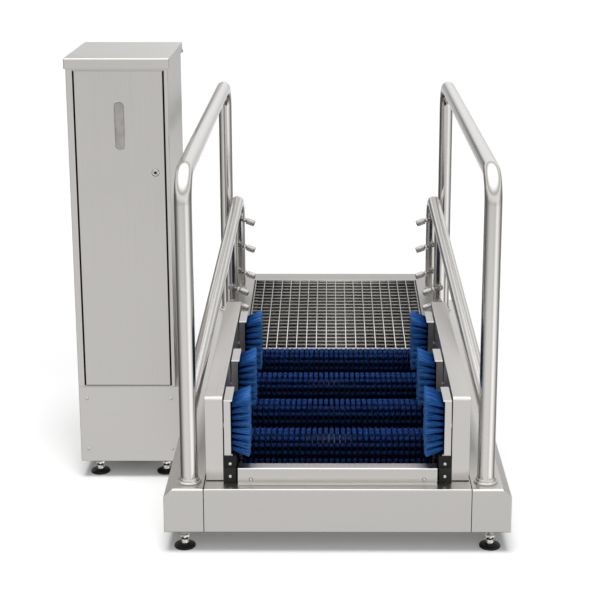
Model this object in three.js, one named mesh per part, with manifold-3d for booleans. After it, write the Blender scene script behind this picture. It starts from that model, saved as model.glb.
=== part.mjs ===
// A walk-through boot washer: a stainless base with four sole brush rollers in a pit, three
// side brushes and a drive cover on each side, a grating deck behind them, handrails, lower
// rails with spray nozzles, and a free-standing supply cabinet on the left.
// Millimetres. +X is to the right, +Y is the walking direction and +Z is up.
// Inside this file Y starts at the front face of the base and X at its centre line. The whole
// machine is then moved so that its footprint is centred on the origin, on the floor.
import * as THREE from "three";
import { mergeGeometries, mergeVertices } from "three/addons/utils/BufferGeometryUtils.js";
import Module from "manifold-3d";

const wasm = await Module();
wasm.setup();

// Clearances and shared values
const seat = 0.3; // between two pieces that rest on each other
const seam = 0.4; // between the base and its side beams
const overrun = 2; // how far a cutter runs past what it cuts
const weldReach = 0.001; // points this close are one
const sheet = 4; // folded stainless sheet with its stiffening
const cover = 3; // lighter sheet of covers and doors
const roundSides = 12; // sides of a round section
const lowRailSides = 10; // sides of a lower rail
const smallSides = 8; // sides of a small round section
const bendSteps = 4; // steps in a tube's bend

// Base
const baseLength = 1772;
const bodyWidth = 740;
const beamWidth = 110;
const footHeight = 63;
const baseHeight = 128;
const beamChamfer = 24;
const pitFront = 75;
const pitPast = 98.1; // from the last roller to the pit's rear end
const pitBorder = 90; // between the pit and the body's side
const motorRoomFlange = 21;
const bodyHalf = bodyWidth / 2;
const baseHalf = bodyHalf + beamWidth;
const baseTop = footHeight + baseHeight;
const onBase = baseTop + seat;

// Sole brush rollers
const rollerCount = 4;
const rollerFirst = 187;
const rollerPitch = 233.3;
const rollerRise = 23.7; // the rollers' axis above the base
const rollerRadius = 75;
const coreRadius = 32;
const brushEndGap = 10; // between a roller's end and the pit's side
const shaftRadius = 12.5;
const running = 0.2; // round a turning shaft or pin
const rollerClearance = 3; // between a turning roller and the side brushes' tips
const tuftRows = 8;
const tuftsInRow = 10;
const tuftSides = 3;
const tuftRootRadius = 5;
const tuftTipRadius = 8;
const tuftRootDepth = 3;

// Bearing rails
const railWidth = 35;
const railCap = 53; // above the rollers' axis
const railFront = 48;
const railPast = 85.1; // from the last roller to the rails' rear end

// Drive: a chain along the left cover, from the gear motor to the four shafts
const chainInset = 35; // from the body's side
const sprocketWidth = 8;
const chainThickness = 4;
const chainLift = 0.6; // between the chain and the base
const chainClearance = 0.4;
const shaftLeftInset = 20; // from the body's side
const shaftRightInset = 1; // from the right rail's outer face
const motorInset = 137; // from the pit's rear end
const motorRadius = 45;
const motorLength = 200;
const motorDrop = 55; // the motor's axis below the rollers' axis
const gearboxWidth = 50;
const gearboxLength = 110;
const gearboxBottom = 105;
const gearboxCap = 13; // above its output shaft's axis
const gearboxInset = 60; // from the body's side
const motorFootWidth = 70;
const motorFootLength = 90;
const outputRadius = 9;
const outputDepth = 30;
const guardSpace = 6; // above the chain
const chainWayWidth = 34;

// Drive covers and side brushes
const coverInset = 53; // from the body's side to the covers' inner face
const coverWidth = 49;
const coverFront = 57;
const coverPast = 57.1; // from the last roller to the covers' rear end
const coverHeight = 246.7;
const shaftNotch = 29;
const coverTop = onBase + coverHeight;
const brushPlaceShares = [0, 0.466, 1]; // along the run of side brushes
const brushRunFront = 52;
const brushRunPast = 82; // from the last holder to the covers' rear end
const holderDepth = 110;
const holderReach = 22; // from a cover to a holder's face
const holderWidth = 18.5;
const holderBottom = 268.6;
const holderTop = 430;
const holderLip = 5;
const padRadius = 8;
const padInset = 22;
const bristleBack = 7;
const bristleReach = 54; // from a holder's face to the tips
const bristleBottom = 256;
const bristleTop = 442;
const rootInset = 9;
const sideTufts = 8;
const tuftGapShare = 0.34; // of a tuft's pitch, left open at its tip
const notchDepthShare = 0.8; // of the bristle length

// Front lip between the bearing rails
const lipEndGap = 4; // between the lip's ends and the rails
const lipFront = 35;
const lipRear = 71;
const lipHeight = 46.7;
const lipFlange = 10;

// Deck behind the rollers: it rises a little to the rear, so that water runs to the pit
const deckLevel = 257.6; // the deck's height near its front
const deckLevelInset = 15; // from the pit's rear end
const deckRiseShare = 0.05; // of its length
const deckOverhang = 28; // beyond the body's side
const skirtInset = 4; // from the body's side
const deckRearStrip = 72;
const deckFrontStrip = 9;
const gratingInset = 63; // from the body's side
const gratingHeight = 28;
const gratingClearance = 1;
const gratingBar = 4;
const gratingRim = 6;
const gratingAcross = 12;
const gratingAlong = 7;
const rimWidth = 3.5;
const ledgeWidth = 16;
const ledgeHeight = 3;

// Handrails
const handTube = 48.3;
const handWall = 2.6;
const handOffset = 42.5; // beyond the body's side
const handFront = 57;
const handRearInset = 122; // from the base's rear end
const handHeight = 1061;
const handBend = 80;
const flangeRadius = 33.5;
const flangeHeight = 4;
const collarRadius = 28;
const collarHeight = 11;
const deckNotch = 2.5;

// Lower rails with their two legs each
const lowTube = 45;
const lowWall = 2.6;
const lowFrontHeight = 393;
const lowRearInset = 5; // from the body's side
const lowRearHeight = 645;
const lowBend = 58;
const rearLegInset = 34; // from the handrail's rear post
const legSpacing = 296;

// Spray nozzles
const nozzleDip = THREE.MathUtils.degToRad(21);
const rearNozzleShares = [0.79, 0.5, 0.21]; // of a leg's height above the deck
const middleNozzleShares = [0.35];
const fixedNozzleShare = 0.175;
const eyeRadius = 10;
const eyeLength = 16;
const bossRadius = 8;
const bossLength = 4;
const pinRadius = 3;
const neckRadius = 5.5;
const neckEnd = 24;
const collarStart = 22;
const nozzleCollar = 9.5;
const capStart = 34;
const capRadius = 12;
const nozzleLength = 66;
const orificeRadius = 4;
const orificeDepth = 6;

// Feet
const discRadius = 30;
const discHeight = 9;
const discEdge = 3;
const spindleRadius = 7;
const nutRadius = 13;
const nutHeight = 10;
const footPlate = 40;
const footPlateHeight = 5;
const baseFootInset = 52.5;
const baseFootPlace = 45;

// Cabinet
const cabinetGap = 5;
const plinthWidth = 308;
const plinthDepth = 385;
const plinthFront = 505;
const plinthBottom = 56;
const plinthTop = 300;
const plinthFlange = 80;
const cabinetWidth = 298;
const cabinetHeight = 981;
const leftStile = 19;
const rightStile = 11;
const stileDepth = 20;
const doorGap = 2;
const doorThickness = 20;
const hingeInset = 3;
const hingeRadius = 2.5;
const hingeLength = 4;
const lidOverhang = 5;
const lidHeight = 31;
const windowWidth = 30;
const windowHeight = 146;
const windowBottom = 1040;
const paneMargin = 6;
const paneThickness = 2;
const lockInset = 30;
const lockHeight = 972.5;
const lockRadius = 10.5;
const lockHead = 3;
const barrelRadius = 7;
const camLength = 36;
const camWidth = 14;
const camThickness = 3;
const cabinetFootInset = 50;
const ductRadius = 30;
const ductHeight = 118;
const hoseHole = 35;

// Cabinet contents
const canWidth = 230;
const canDepth = 270;
const canHeight = 400;
const canNeckRadius = 30;
const canNeckHeight = 35;

// Half widths worked out from the body's width
const pitHalfWidth = bodyHalf - pitBorder;
const railInner = pitHalfWidth;
const railOuter = railInner + railWidth;
const brushHalfLength = pitHalfWidth - brushEndGap;
const lipHalf = pitHalfWidth - lipEndGap;
const chainPlane = bodyHalf - chainInset;
const shaftLeftEnd = bodyHalf - shaftLeftInset;
const shaftRightEnd = railOuter - shaftRightInset;
const gearboxFace = bodyHalf - gearboxInset;
const coverInner = bodyHalf - coverInset;
const coverOuter = coverInner + coverWidth;
const holderInner = coverInner - holderReach;
const bristleTip = holderInner - bristleReach;
const deckHalf = bodyHalf + deckOverhang;
const deckSkirt = bodyHalf - skirtInset;
const gratingHalf = bodyHalf - gratingInset;
const handPlace = bodyHalf + handOffset;
const lowRearPlace = bodyHalf - lowRearInset;

// Heights and places worked out from the sizes above
const rollerHeight = onBase + rollerRise;
const railTop = rollerHeight + railCap;
const chainInner = rollerRise - chainLift - chainThickness;
const sprocketRadius = chainInner * Math.cos(Math.PI / roundSides) - chainClearance;
const chainTop = rollerHeight + chainInner + chainThickness + guardSpace;
const motorHeight = rollerHeight - motorDrop;
const gearboxTop = rollerHeight + gearboxCap;
const lastRoller = rollerFirst + rollerPitch * (rollerCount - 1);
const pitRear = lastRoller + pitPast;
const railRear = lastRoller + railPast;
const coverRear = lastRoller + coverPast;
const brushRun = coverRear - brushRunPast - holderDepth - brushRunFront;
const motorPlace = pitRear + motorInset;
const deckLevelPlace = pitRear + deckLevelInset;
const handRear = baseLength - handRearInset;
const rearLeg = handRear - rearLegInset;
const middleLeg = rearLeg - legSpacing;
const deckTop = (y) => deckLevel + deckRiseShare * (y - deckLevelPlace);
const plinthRight = -baseHalf - cabinetGap;
const plinthLeft = plinthRight - plinthWidth;
const cabinetLeft = plinthLeft;
const cabinetRight = cabinetLeft + cabinetWidth;
const plinthRear = plinthFront + plinthDepth;
const cabinetBottom = plinthTop + seat;
const cabinetTop = cabinetBottom + cabinetHeight;
const doorLeft = cabinetLeft + leftStile + doorGap;
const doorRight = cabinetRight - rightStile - doorGap;
const doorBottom = cabinetBottom + sheet + doorGap;
const doorTop = cabinetTop - sheet - doorGap;
const doorMiddle = (doorLeft + doorRight) / 2;

// Colours and finishes
const steel = { color: 0xc4c1bd, metalness: 0.9, roughness: 0.35 };
const steelShade = { color: 0xa9a6a1, metalness: 0.9, roughness: 0.45 };
const bristle = { color: 0x1f4f9e, metalness: 0, roughness: 0.7 };
const plastic = { color: 0x1b1b1d, metalness: 0, roughness: 0.5 };
const paint = { color: 0x3d6a8c, metalness: 0.3, roughness: 0.5 };
const polymer = { color: 0xdcdcd2, metalness: 0, roughness: 0.6 };

// Solids: a closed geometry as a manifold, facing outwards whichever way it was built
function solid(geometry) {
  const bare = geometry.clone();
  bare.deleteAttribute("normal");
  bare.deleteAttribute("uv");
  const merged = mergeVertices(bare, weldReach);
  const vertProperties = new Float32Array(merged.attributes.position.array);
  const triVerts = new Uint32Array(merged.index.array);
  const made = new wasm.Manifold(new wasm.Mesh({ numProp: 3, vertProperties, triVerts }));
  if (made.volume() >= 0) return made;
  for (let i = 0; i < triVerts.length; i += 3) {
    [triVerts[i + 1], triVerts[i + 2]] = [triVerts[i + 2], triVerts[i + 1]];
  }
  return new wasm.Manifold(new wasm.Mesh({ numProp: 3, vertProperties, triVerts }));
}

const isSolid = (piece) => piece instanceof wasm.Manifold;
const asSolid = (piece) => (isSolid(piece) ? piece : solid(piece));

function join(...pieces) {
  return pieces.map(asSolid).reduce((whole, piece) => whole.add(piece));
}

function cut(body, ...cutters) {
  return cutters.map(asSolid).reduce((rest, cutter) => rest.subtract(cutter), asSolid(body));
}

function geometryOf(piece) {
  const mesh = asSolid(piece).getMesh();
  const position = new Float32Array(mesh.numVert * 3);
  for (let i = 0; i < mesh.numVert; i++) {
    const start = i * mesh.numProp;
    position.set(mesh.vertProperties.subarray(start, start + 3), i * 3);
  }
  const indexed = new THREE.BufferGeometry()
    .setAttribute("position", new THREE.BufferAttribute(position, 3))
    .setIndex(new THREE.BufferAttribute(mesh.triVerts, 1));
  const geometry = indexed.toNonIndexed();
  geometry.computeVertexNormals();
  return geometry;
}

// A box from its low and high limits along each axis, in either order
function box([x0, x1], [y0, y1], [z0, z1]) {
  const size = [Math.abs(x1 - x0), Math.abs(y1 - y0), Math.abs(z1 - z0)];
  return new THREE.BoxGeometry(...size).translate((x0 + x1) / 2, (y0 + y1) / 2, (z0 + z1) / 2);
}

// Which world directions an outline's two axes and its depth run along
const AXES = {
  x: [new THREE.Vector3(0, 1, 0), new THREE.Vector3(0, 0, 1), new THREE.Vector3(1, 0, 0)],
  y: [new THREE.Vector3(0, 0, 1), new THREE.Vector3(1, 0, 0), new THREE.Vector3(0, 1, 0)],
  z: [new THREE.Vector3(1, 0, 0), new THREE.Vector3(0, 1, 0), new THREE.Vector3(0, 0, 1)],
};

// An outline pushed along an axis between two places. The outline's pairs are (y, z) for x,
// (z, x) for y and (x, y) for z.
function prism(axis, outline, [from, to], hole = null) {
  const toPoint = ([a, b]) => new THREE.Vector2(a, b);
  const shape = new THREE.Shape(outline.map(toPoint));
  if (hole) shape.holes.push(new THREE.Path(hole.map(toPoint)));
  const depth = Math.abs(to - from);
  const geometry = new THREE.ExtrudeGeometry(shape, { depth, bevelEnabled: false });
  geometry.translate(0, 0, Math.min(from, to));
  return geometry.applyMatrix4(new THREE.Matrix4().makeBasis(...AXES[axis]));
}

// A circle's points round a centre, for prisms
function circle([a, b], radius, sides = roundSides, turn = 0) {
  return Array.from({ length: sides }, (_, i) => {
    const angle = turn + (i / sides) * 2 * Math.PI;
    return [a + radius * Math.cos(angle), b + radius * Math.sin(angle)];
  });
}

function rod(axis, centre, radius, range, sides = roundSides) {
  return prism(axis, circle(centre, radius, sides), range);
}

// A cutter for a round hole: its flats, not its corners, stand at the radius
function drill(axis, centre, radius, range, sides = roundSides) {
  return rod(axis, centre, radius / Math.cos(Math.PI / sides), range, sides);
}

// A rod whose corners face the flats of a drilled hole
function spindle(axis, centre, radius, range, sides = roundSides) {
  return prism(axis, circle(centre, radius, sides, Math.PI / sides), range);
}

// A turned piece about an upright axis: pairs are (radius, height)
function turned(profile, [x, y], sides = roundSides) {
  const points = profile.map(([r, z]) => new THREE.Vector2(r, z));
  return new THREE.LatheGeometry(points, sides).rotateX(Math.PI / 2).translate(x, y, 0);
}

// A route whose stations are its points, so a tube's rings stand exactly at them
class Route extends THREE.Curve {
  constructor(points) {
    super();
    this.points = points;
  }

  getPoint(share) {
    const place = share * (this.points.length - 1);
    const before = Math.min(Math.floor(place), this.points.length - 2);
    return this.points[before].clone().lerp(this.points[before + 1], place - before);
  }

  getPointAt(share) {
    return this.getPoint(share);
  }

  getTangentAt(share) {
    const last = this.points.length - 1;
    const station = Math.round(share * last);
    const tangent = new THREE.Vector3();
    for (const start of [station - 1, station]) {
      if (start < 0 || start >= last) continue;
      const step = this.points[start + 1].clone().sub(this.points[start]);
      tangent.add(step.normalize());
    }
    return tangent.normalize();
  }
}

// Points with each inner corner rounded to an arc
function rounded(corners, radius, steps = bendSteps) {
  const points = [corners[0]];
  for (let i = 1; i < corners.length - 1; i++) {
    const into = corners[i].clone().sub(corners[i - 1]).normalize();
    const out = corners[i + 1].clone().sub(corners[i]).normalize();
    const turn = into.angleTo(out);
    const inward = out.clone().addScaledVector(into, -into.dot(out)).normalize();
    const start = corners[i].clone().addScaledVector(into, -radius * Math.tan(turn / 2));
    const centre = start.clone().addScaledVector(inward, radius);
    for (let step = 0; step <= steps; step++) {
      const angle = (turn * step) / steps;
      const point = centre.clone().addScaledVector(inward, -radius * Math.cos(angle));
      points.push(point.addScaledVector(into, radius * Math.sin(angle)));
    }
  }
  points.push(corners[corners.length - 1]);
  return points;
}

function tube(points, radius, sides = roundSides) {
  const shape = new THREE.Shape(circle([0, 0], radius, sides).map(([a, b]) => new THREE.Vector2(a, b)));
  const extrudePath = new Route(points);
  return new THREE.ExtrudeGeometry(shape, { extrudePath, steps: points.length - 1 });
}

// The same points carried past both ends, so that a bore cuts clean through
function runPast(points) {
  const first = points[0].clone().sub(points[1]).setLength(overrun).add(points[0]);
  const beforeLast = points[points.length - 2];
  const last = points[points.length - 1];
  return [first, ...points.slice(1, -1), last.clone().sub(beforeLast).setLength(overrun).add(last)];
}

const machine = new THREE.Group();

function add(name, piece, finish) {
  const mesh = new THREE.Mesh(geometryOf(piece), new THREE.MeshStandardMaterial(finish));
  mesh.name = name;
  machine.add(mesh);
}

const SIDES = [
  ["left", -1],
  ["right", 1],
];

// Base tray: a pit for the rollers in front and a room for the motor behind, under a flange
function baseTray() {
  const half = bodyHalf - seam;
  const floor = footHeight + sheet;
  const underFlange = baseTop - sheet;
  const pitWall = pitRear - sheet;
  const inner = half - sheet;
  const roomOpening = inner - motorRoomFlange;
  const past = baseTop + overrun;
  return cut(
    box([-half, half], [0, baseLength], [footHeight, baseTop]),
    box([-inner, inner], [sheet, pitWall], [floor, underFlange]),
    box([-pitHalfWidth, pitHalfWidth], [pitFront, pitWall], [floor, past]),
    box([-inner, inner], [pitRear, baseLength - sheet], [floor, underFlange]),
    box([-roomOpening, roomOpening], [pitRear, baseLength - motorRoomFlange], [floor, past]),
  );
}

// Side beam: a folded channel that opens towards the tray, chamfered along its outer top edge
function sideBeam(side) {
  const near = bodyHalf * side;
  const far = baseHalf * side;
  const innerFar = far - sheet * side;
  const outline = [
    [footHeight, near],
    [footHeight, far],
    [baseTop - beamChamfer, far],
    [baseTop, far - beamChamfer * side],
    [baseTop, near],
  ];
  const chamfer = beamChamfer - sheet / 2;
  const hollow = [
    [footHeight + sheet, near - overrun * side],
    [footHeight + sheet, innerFar],
    [baseTop - sheet - chamfer, innerFar],
    [baseTop - sheet, innerFar - chamfer * side],
    [baseTop - sheet, near - overrun * side],
  ];
  return cut(
    prism("y", outline, [0, baseLength]),
    prism("y", hollow, [sheet, baseLength - sheet]),
  );
}

// Front lip: a folded strip with a flange at its foot
function frontLip() {
  const top = onBase + lipHeight;
  const outline = [
    [lipFront - lipFlange, onBase],
    [lipFront + cover, onBase],
    [lipFront + cover, top - cover],
    [lipRear - cover, top - cover],
    [lipRear - cover, onBase],
    [lipRear, onBase],
    [lipRear, top],
    [lipFront, top],
    [lipFront, onBase + cover],
    [lipFront - lipFlange, onBase + cover],
  ];
  return prism("x", outline, [-lipHalf, lipHalf]);
}

// Bearing rail: a plastic block along the pit's edge, bored for the four shafts
function bearingRail(side) {
  const range = [railInner * side, railOuter * side];
  const through = [(railInner - overrun) * side, (railOuter + overrun) * side];
  const bores = rollerPlaces().map((y) =>
    drill("x", [y, rollerHeight], shaftRadius + running, through),
  );
  return cut(box(range, [railFront, railRear], [onBase, railTop]), ...bores);
}

function rollerPlaces() {
  return Array.from({ length: rollerCount }, (_, i) => rollerFirst + rollerPitch * i);
}

// One flaring tuft from the core outwards, as a closed strand with few sides
function tuft(x, y, angle) {
  const strand = new THREE.CylinderGeometry(
    tuftTipRadius,
    tuftRootRadius,
    rollerRadius - coreRadius + tuftRootDepth,
    tuftSides,
  );
  strand.translate(0, (rollerRadius + coreRadius - tuftRootDepth) / 2, 0);
  return strand.rotateX(angle).translate(x, y, rollerHeight);
}

// Sole brush: a sleeve on its shaft with staggered rows of tufts
function soleBrush(y) {
  const centre = [y, rollerHeight];
  const outline = circle(centre, coreRadius, tuftRows * 2);
  const bore = circle(centre, (shaftRadius + running) / Math.cos(Math.PI / roundSides));
  const core = prism("x", outline, [-brushHalfLength, brushHalfLength], bore);
  const pitch = (2 * brushHalfLength) / tuftsInRow;
  const tufts = [];
  for (let row = 0; row < tuftRows; row++) {
    const angle = ((row + 1 / 2) / tuftRows) * 2 * Math.PI;
    const stagger = row % 2 ? pitch / 4 : -pitch / 4;
    for (let i = 0; i < tuftsInRow; i++) {
      tufts.push(tuft((i + 1 / 2) * pitch - brushHalfLength + stagger, y, angle));
    }
  }
  return join(core, mergeGeometries(tufts));
}

// Shaft with the sprocket that the chain drives
function brushShaft(y) {
  const centre = [y, rollerHeight];
  const sprocket = [-chainPlane - sprocketWidth / 2, -chainPlane + sprocketWidth / 2];
  return join(
    spindle("x", centre, shaftRadius, [-shaftLeftEnd, shaftRightEnd]),
    rod("x", centre, sprocketRadius, sprocket),
  );
}

// Drive chain: a flat loop round all the sprockets
function driveChain() {
  const ends = [rollerFirst, motorPlace];
  const loop = (radius) => {
    const arc = (y, start) =>
      Array.from({ length: roundSides / 2 + 1 }, (_, i) => {
        const angle = start + (i / (roundSides / 2)) * Math.PI;
        return [y + radius * Math.cos(angle), rollerHeight + radius * Math.sin(angle)];
      });
    return [...arc(ends[1], -Math.PI / 2), ...arc(ends[0], Math.PI / 2)];
  };
  const range = [-chainPlane - sprocketWidth / 2, -chainPlane + sprocketWidth / 2];
  return prism("x", loop(chainInner + chainThickness), range, loop(chainInner));
}

// Gear motor on its foot, with a socket for the output shaft
function gearMotor() {
  const y = motorPlace;
  const boxRange = [-gearboxFace, -gearboxFace + gearboxWidth];
  const motorRange = [-gearboxFace + gearboxWidth - overrun, -gearboxFace + gearboxWidth + motorLength];
  const footFloor = footHeight + sheet + seat;
  const footStart = -gearboxFace + gearboxWidth / 4;
  const foot = box(
    [footStart, footStart + motorFootLength],
    [y - motorFootWidth / 2, y + motorFootWidth / 2],
    [footFloor, motorHeight],
  );
  const socket = drill(
    "x",
    [y, rollerHeight],
    outputRadius + running,
    [-gearboxFace - overrun, -gearboxFace + outputDepth],
  );
  return cut(
    join(
      box(boxRange, [y - gearboxLength / 2, y + gearboxLength / 2], [gearboxBottom, gearboxTop]),
      rod("x", [y, motorHeight], motorRadius, motorRange),
      foot,
    ),
    socket,
  );
}

function driveSprocket() {
  const centre = [motorPlace, rollerHeight];
  const outer = -chainPlane - sprocketWidth / 2;
  return join(
    spindle("x", centre, outputRadius, [outer, -gearboxFace + outputDepth - seat]),
    rod("x", centre, sprocketRadius, [outer, outer + sprocketWidth]),
  );
}

// Drive cover: a long box, open below. The left one is notched where the shafts come through
// its inner wall, and a low guard carries on from it over the chain to the deck.
function driveCover(side) {
  const rear = coverRear;
  const outer = [coverInner * side, coverOuter * side];
  const inner = [(coverInner + cover) * side, (coverOuter - cover) * side];
  const below = onBase - overrun;
  const shell = cut(
    box(outer, [coverFront, rear], [onBase, coverTop]),
    box(inner, [coverFront + cover, rear - cover], [below, coverTop - cover]),
  );
  if (side > 0) return shell;
  const wall = [(coverInner - overrun) * side, (coverInner + cover + overrun) * side];
  const notches = rollerPlaces().map((y) =>
    box(wall, [y - shaftNotch / 2, y + shaftNotch / 2], [below, rollerHeight + shaftNotch / 2]),
  );
  const guardEnd = pitRear - seat;
  const guard = box(outer, [rear - cover, guardEnd], [onBase, chainTop + cover]);
  const chainWay = box(inner, [rear - cover - overrun, guardEnd + overrun], [below, chainTop]);
  return cut(join(shell, guard), ...notches, chainWay);
}

// Holder: a folded channel with two spacer pads against the cover
function brushHolder(side, front) {
  const rear = front + holderDepth;
  const outerX = holderInner + holderWidth;
  const body = cut(
    box([holderInner * side, outerX * side], [front, rear], [holderBottom, holderTop]),
    box(
      [(holderInner + cover) * side, (outerX + overrun) * side],
      [front + cover, rear - cover],
      [holderBottom + cover, holderTop - cover],
    ),
  );
  const padRange = [(holderInner + cover / 2) * side, (coverInner - seat) * side];
  const middle = (holderBottom + holderTop) / 2;
  const pads = [front + padInset, rear - padInset].map((y) =>
    rod("x", [y, middle], padRadius, padRange),
  );
  const lips = [holderBottom, holderTop - cover].map((z) =>
    box([(holderInner - holderLip) * side, (holderInner + overrun) * side], [front, rear], [z, z + cover]),
  );
  return join(body, ...pads, ...lips);
}

// Side brush: level rows of tufts that flare from a backing strip to their tips, trimmed where
// the rollers turn
function sideBrush(side, front) {
  const rear = front + holderDepth;
  const back = holderInner - seat;
  const root = back - bristleBack;
  const rootLow = holderBottom + rootInset;
  const rootHigh = holderTop - rootInset;
  const tipPitch = (bristleTop - bristleBottom) / sideTufts;
  const rootPitch = (rootHigh - rootLow) / sideTufts;
  const notch = root - (root - bristleTip) * (1 - notchDepthShare);
  const outline = [
    [rootLow, back * side],
    [rootLow, root * side],
  ];
  for (let i = 0; i < sideTufts; i++) {
    const low = bristleBottom + tipPitch * (i + tuftGapShare / 2);
    const high = bristleBottom + tipPitch * (i + 1 - tuftGapShare / 2);
    outline.push([low, bristleTip * side], [high, bristleTip * side]);
    if (i < sideTufts - 1) outline.push([rootLow + rootPitch * (i + 1), notch * side]);
  }
  outline.push([rootHigh, root * side], [rootHigh, back * side]);
  const swept = brushHalfLength + rollerClearance;
  const rollers = rollerPlaces().map((y) =>
    rod("x", [y, rollerHeight], rollerRadius + rollerClearance, [-swept, swept], 2 * roundSides),
  );
  return cut(prism("y", outline, [front + cover, rear - cover]), ...rollers);
}

// Shears a level piece so that it follows the deck's rise
function onDeckSlope(geometry) {
  const shear = new THREE.Matrix4().makeShear(0, 0, 0, deckRiseShare, 0, 0);
  shear.setPosition(0, 0, -deckRiseShare * deckLevelPlace);
  return geometry.applyMatrix4(shear);
}

// Deck frame: a flanged ring on skirts, with a rim and ledges that carry the grating
function deckFrame() {
  const front = pitRear;
  const rear = baseLength;
  const wellFront = front + deckFrontStrip;
  const wellRear = rear - deckRearStrip;
  const rim = gratingHalf + gratingClearance;
  const under = deckLevel - gratingHeight - seat;
  const past = deckLevel + overrun;
  const flange = onDeckSlope(box([-deckHalf, deckHalf], [front, rear], [deckLevel - sheet, deckLevel]));
  const rimBlock = onDeckSlope(
    box(
      [-rim - rimWidth, rim + rimWidth],
      [wellFront - rimWidth, wellRear + rimWidth],
      [under - ledgeHeight, deckLevel],
    ),
  );
  const well = onDeckSlope(box([-rim, rim], [wellFront, wellRear], [under, past]));
  const throat = onDeckSlope(
    box(
      [-rim + ledgeWidth, rim - ledgeWidth],
      [wellFront + ledgeWidth / 2, wellRear - ledgeWidth / 2],
      [under - ledgeHeight - overrun, past],
    ),
  );
  const sideOutline = [
    [front, onBase],
    [rear, onBase],
    [rear, deckTop(rear) - sheet / 2],
    [front, deckTop(front) - sheet / 2],
  ];
  const skirtHollow = [
    [front + sheet, onBase - overrun],
    [rear - sheet, onBase - overrun],
    [rear - sheet, deckTop(rear) - sheet],
    [front + sheet, deckTop(front) - sheet],
  ];
  const skirt = cut(
    prism("x", sideOutline, [-deckSkirt, deckSkirt]),
    prism("x", skirtHollow, [-deckSkirt + sheet, deckSkirt - sheet]),
  );
  const chainWay = box(
    [-chainPlane - chainWayWidth / 2, -chainPlane + chainWayWidth / 2],
    [front - overrun, front + sheet + overrun],
    [onBase - overrun, chainTop],
  );
  const notches = SIDES.map(([, side]) =>
    rod("z", [handPlace * side, handRear], handTube / 2 + deckNotch, [onBase, handHeight]),
  );
  return cut(join(flange, rimBlock, skirt), well, throat, chainWay, ...notches);
}

// Grating: a rim with bars both ways, in the frame's well
function deckGrating() {
  const front = pitRear + deckFrontStrip + gratingClearance;
  const rear = baseLength - deckRearStrip - gratingClearance;
  const bottom = deckLevel - gratingHeight;
  const width = 2 * (gratingHalf - gratingRim) + gratingBar;
  const length = rear - front - 2 * gratingRim + gratingBar;
  const acrossPitch = width / gratingAcross;
  const alongPitch = length / gratingAlong;
  const past = [bottom - overrun, deckLevel + overrun];
  const holes = [];
  for (let i = 0; i < gratingAcross; i++) {
    for (let j = 0; j < gratingAlong; j++) {
      const x = -gratingHalf + gratingRim + acrossPitch * i;
      const y = front + gratingRim + alongPitch * j;
      holes.push(box([x, x + acrossPitch - gratingBar], [y, y + alongPitch - gratingBar], past));
    }
  }
  const slab = box([-gratingHalf, gratingHalf], [front, rear], [bottom, deckLevel]);
  return cut(onDeckSlope(slab), onDeckSlope(mergeGeometries(holes)));
}

// Handrail: one bent tube on two welded flanges
function handrail(side) {
  const at = (y, z) => new THREE.Vector3(handPlace * side, y, z);
  const front = [at(handFront, onBase), at(handFront, handHeight)];
  const corners = [...front, at(handRear, handHeight), at(handRear, onBase)];
  const route = rounded(corners, handBend);
  const outer = tube(route, handTube / 2);
  const bore = tube(runPast(route), handTube / 2 - handWall);
  const flangeOutline = [
    [0, onBase],
    [flangeRadius, onBase],
    [flangeRadius, onBase + flangeHeight],
    [collarRadius, onBase + flangeHeight],
    [collarRadius, onBase + collarHeight],
    [0, onBase + collarHeight],
  ];
  const flanges = [handFront, handRear].map((y) => turned(flangeOutline, [handPlace * side, y]));
  return cut(join(outer, ...flanges), bore);
}

// Where the lower rail's centre line runs at a place along the machine
function lowRailAt(y, side) {
  const share = (y - handFront) / (rearLeg - handFront);
  const x = handPlace + (lowRearPlace - handPlace) * share;
  const z = lowFrontHeight + (lowRearHeight - lowFrontHeight) * share;
  return new THREE.Vector3(x * side, y, z);
}

// Where a nozzle's pivot stands, in front of a leg and at a share of its height
function nozzlePivot(leg, share, side) {
  const top = lowRailAt(leg, side);
  const height = deckTop(leg) + (top.z - deckTop(leg)) * share;
  return new THREE.Vector3(top.x, leg - lowTube / 2 - bossLength - eyeLength / 2, height);
}

// Lower rail: a sloping tube from the front post to its own rear leg, with a middle leg, the
// pivot pins of its nozzles and one fixed nozzle low on the middle leg
function lowerRail(side) {
  const start = lowRailAt(handFront, side);
  const corner = lowRailAt(rearLeg, side);
  const foot = (leg) => {
    const top = lowRailAt(leg, side);
    return new THREE.Vector3(top.x, leg, deckTop(leg + lowTube / 2) + seat);
  };
  const route = rounded([start, corner, foot(rearLeg)], lowBend);
  const legRoute = [lowRailAt(middleLeg, side), foot(middleLeg)];
  const legBore = [legRoute[0], runPast(legRoute)[1]];
  const outerRadius = lowTube / 2;
  const boreRadius = outerRadius - lowWall;
  const post = rod("z", [handPlace * side, handFront], handTube / 2 + seat, [onBase, handHeight]);
  const pins = nozzlePlaces(side).map(({ pivot, leg }) => {
    const centre = [pivot.z, pivot.x];
    const face = leg - outerRadius;
    const end = face - bossLength - eyeLength - seat;
    return join(
      rod("y", centre, bossRadius, [face + lowWall + overrun, face - bossLength + seat], smallSides),
      spindle("y", centre, pinRadius, [face, end - bossLength / 2], smallSides),
    );
  });
  const fixedPivot = nozzlePivot(middleLeg, fixedNozzleShare, side);
  const fixedStub = rod(
    "y",
    [fixedPivot.z, fixedPivot.x],
    bossRadius,
    [fixedPivot.y, middleLeg - outerRadius + lowWall],
    smallSides,
  );
  const frame = cut(
    join(tube(route, outerRadius, lowRailSides), tube(legRoute, outerRadius, lowRailSides)),
    post,
    tube([start, ...route.slice(1, -1), runPast(route).at(-1)], boreRadius, lowRailSides),
    tube(legBore, boreRadius, lowRailSides),
  );
  return join(frame, ...pins, fixedStub, nozzle(fixedPivot, side, false));
}

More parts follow.
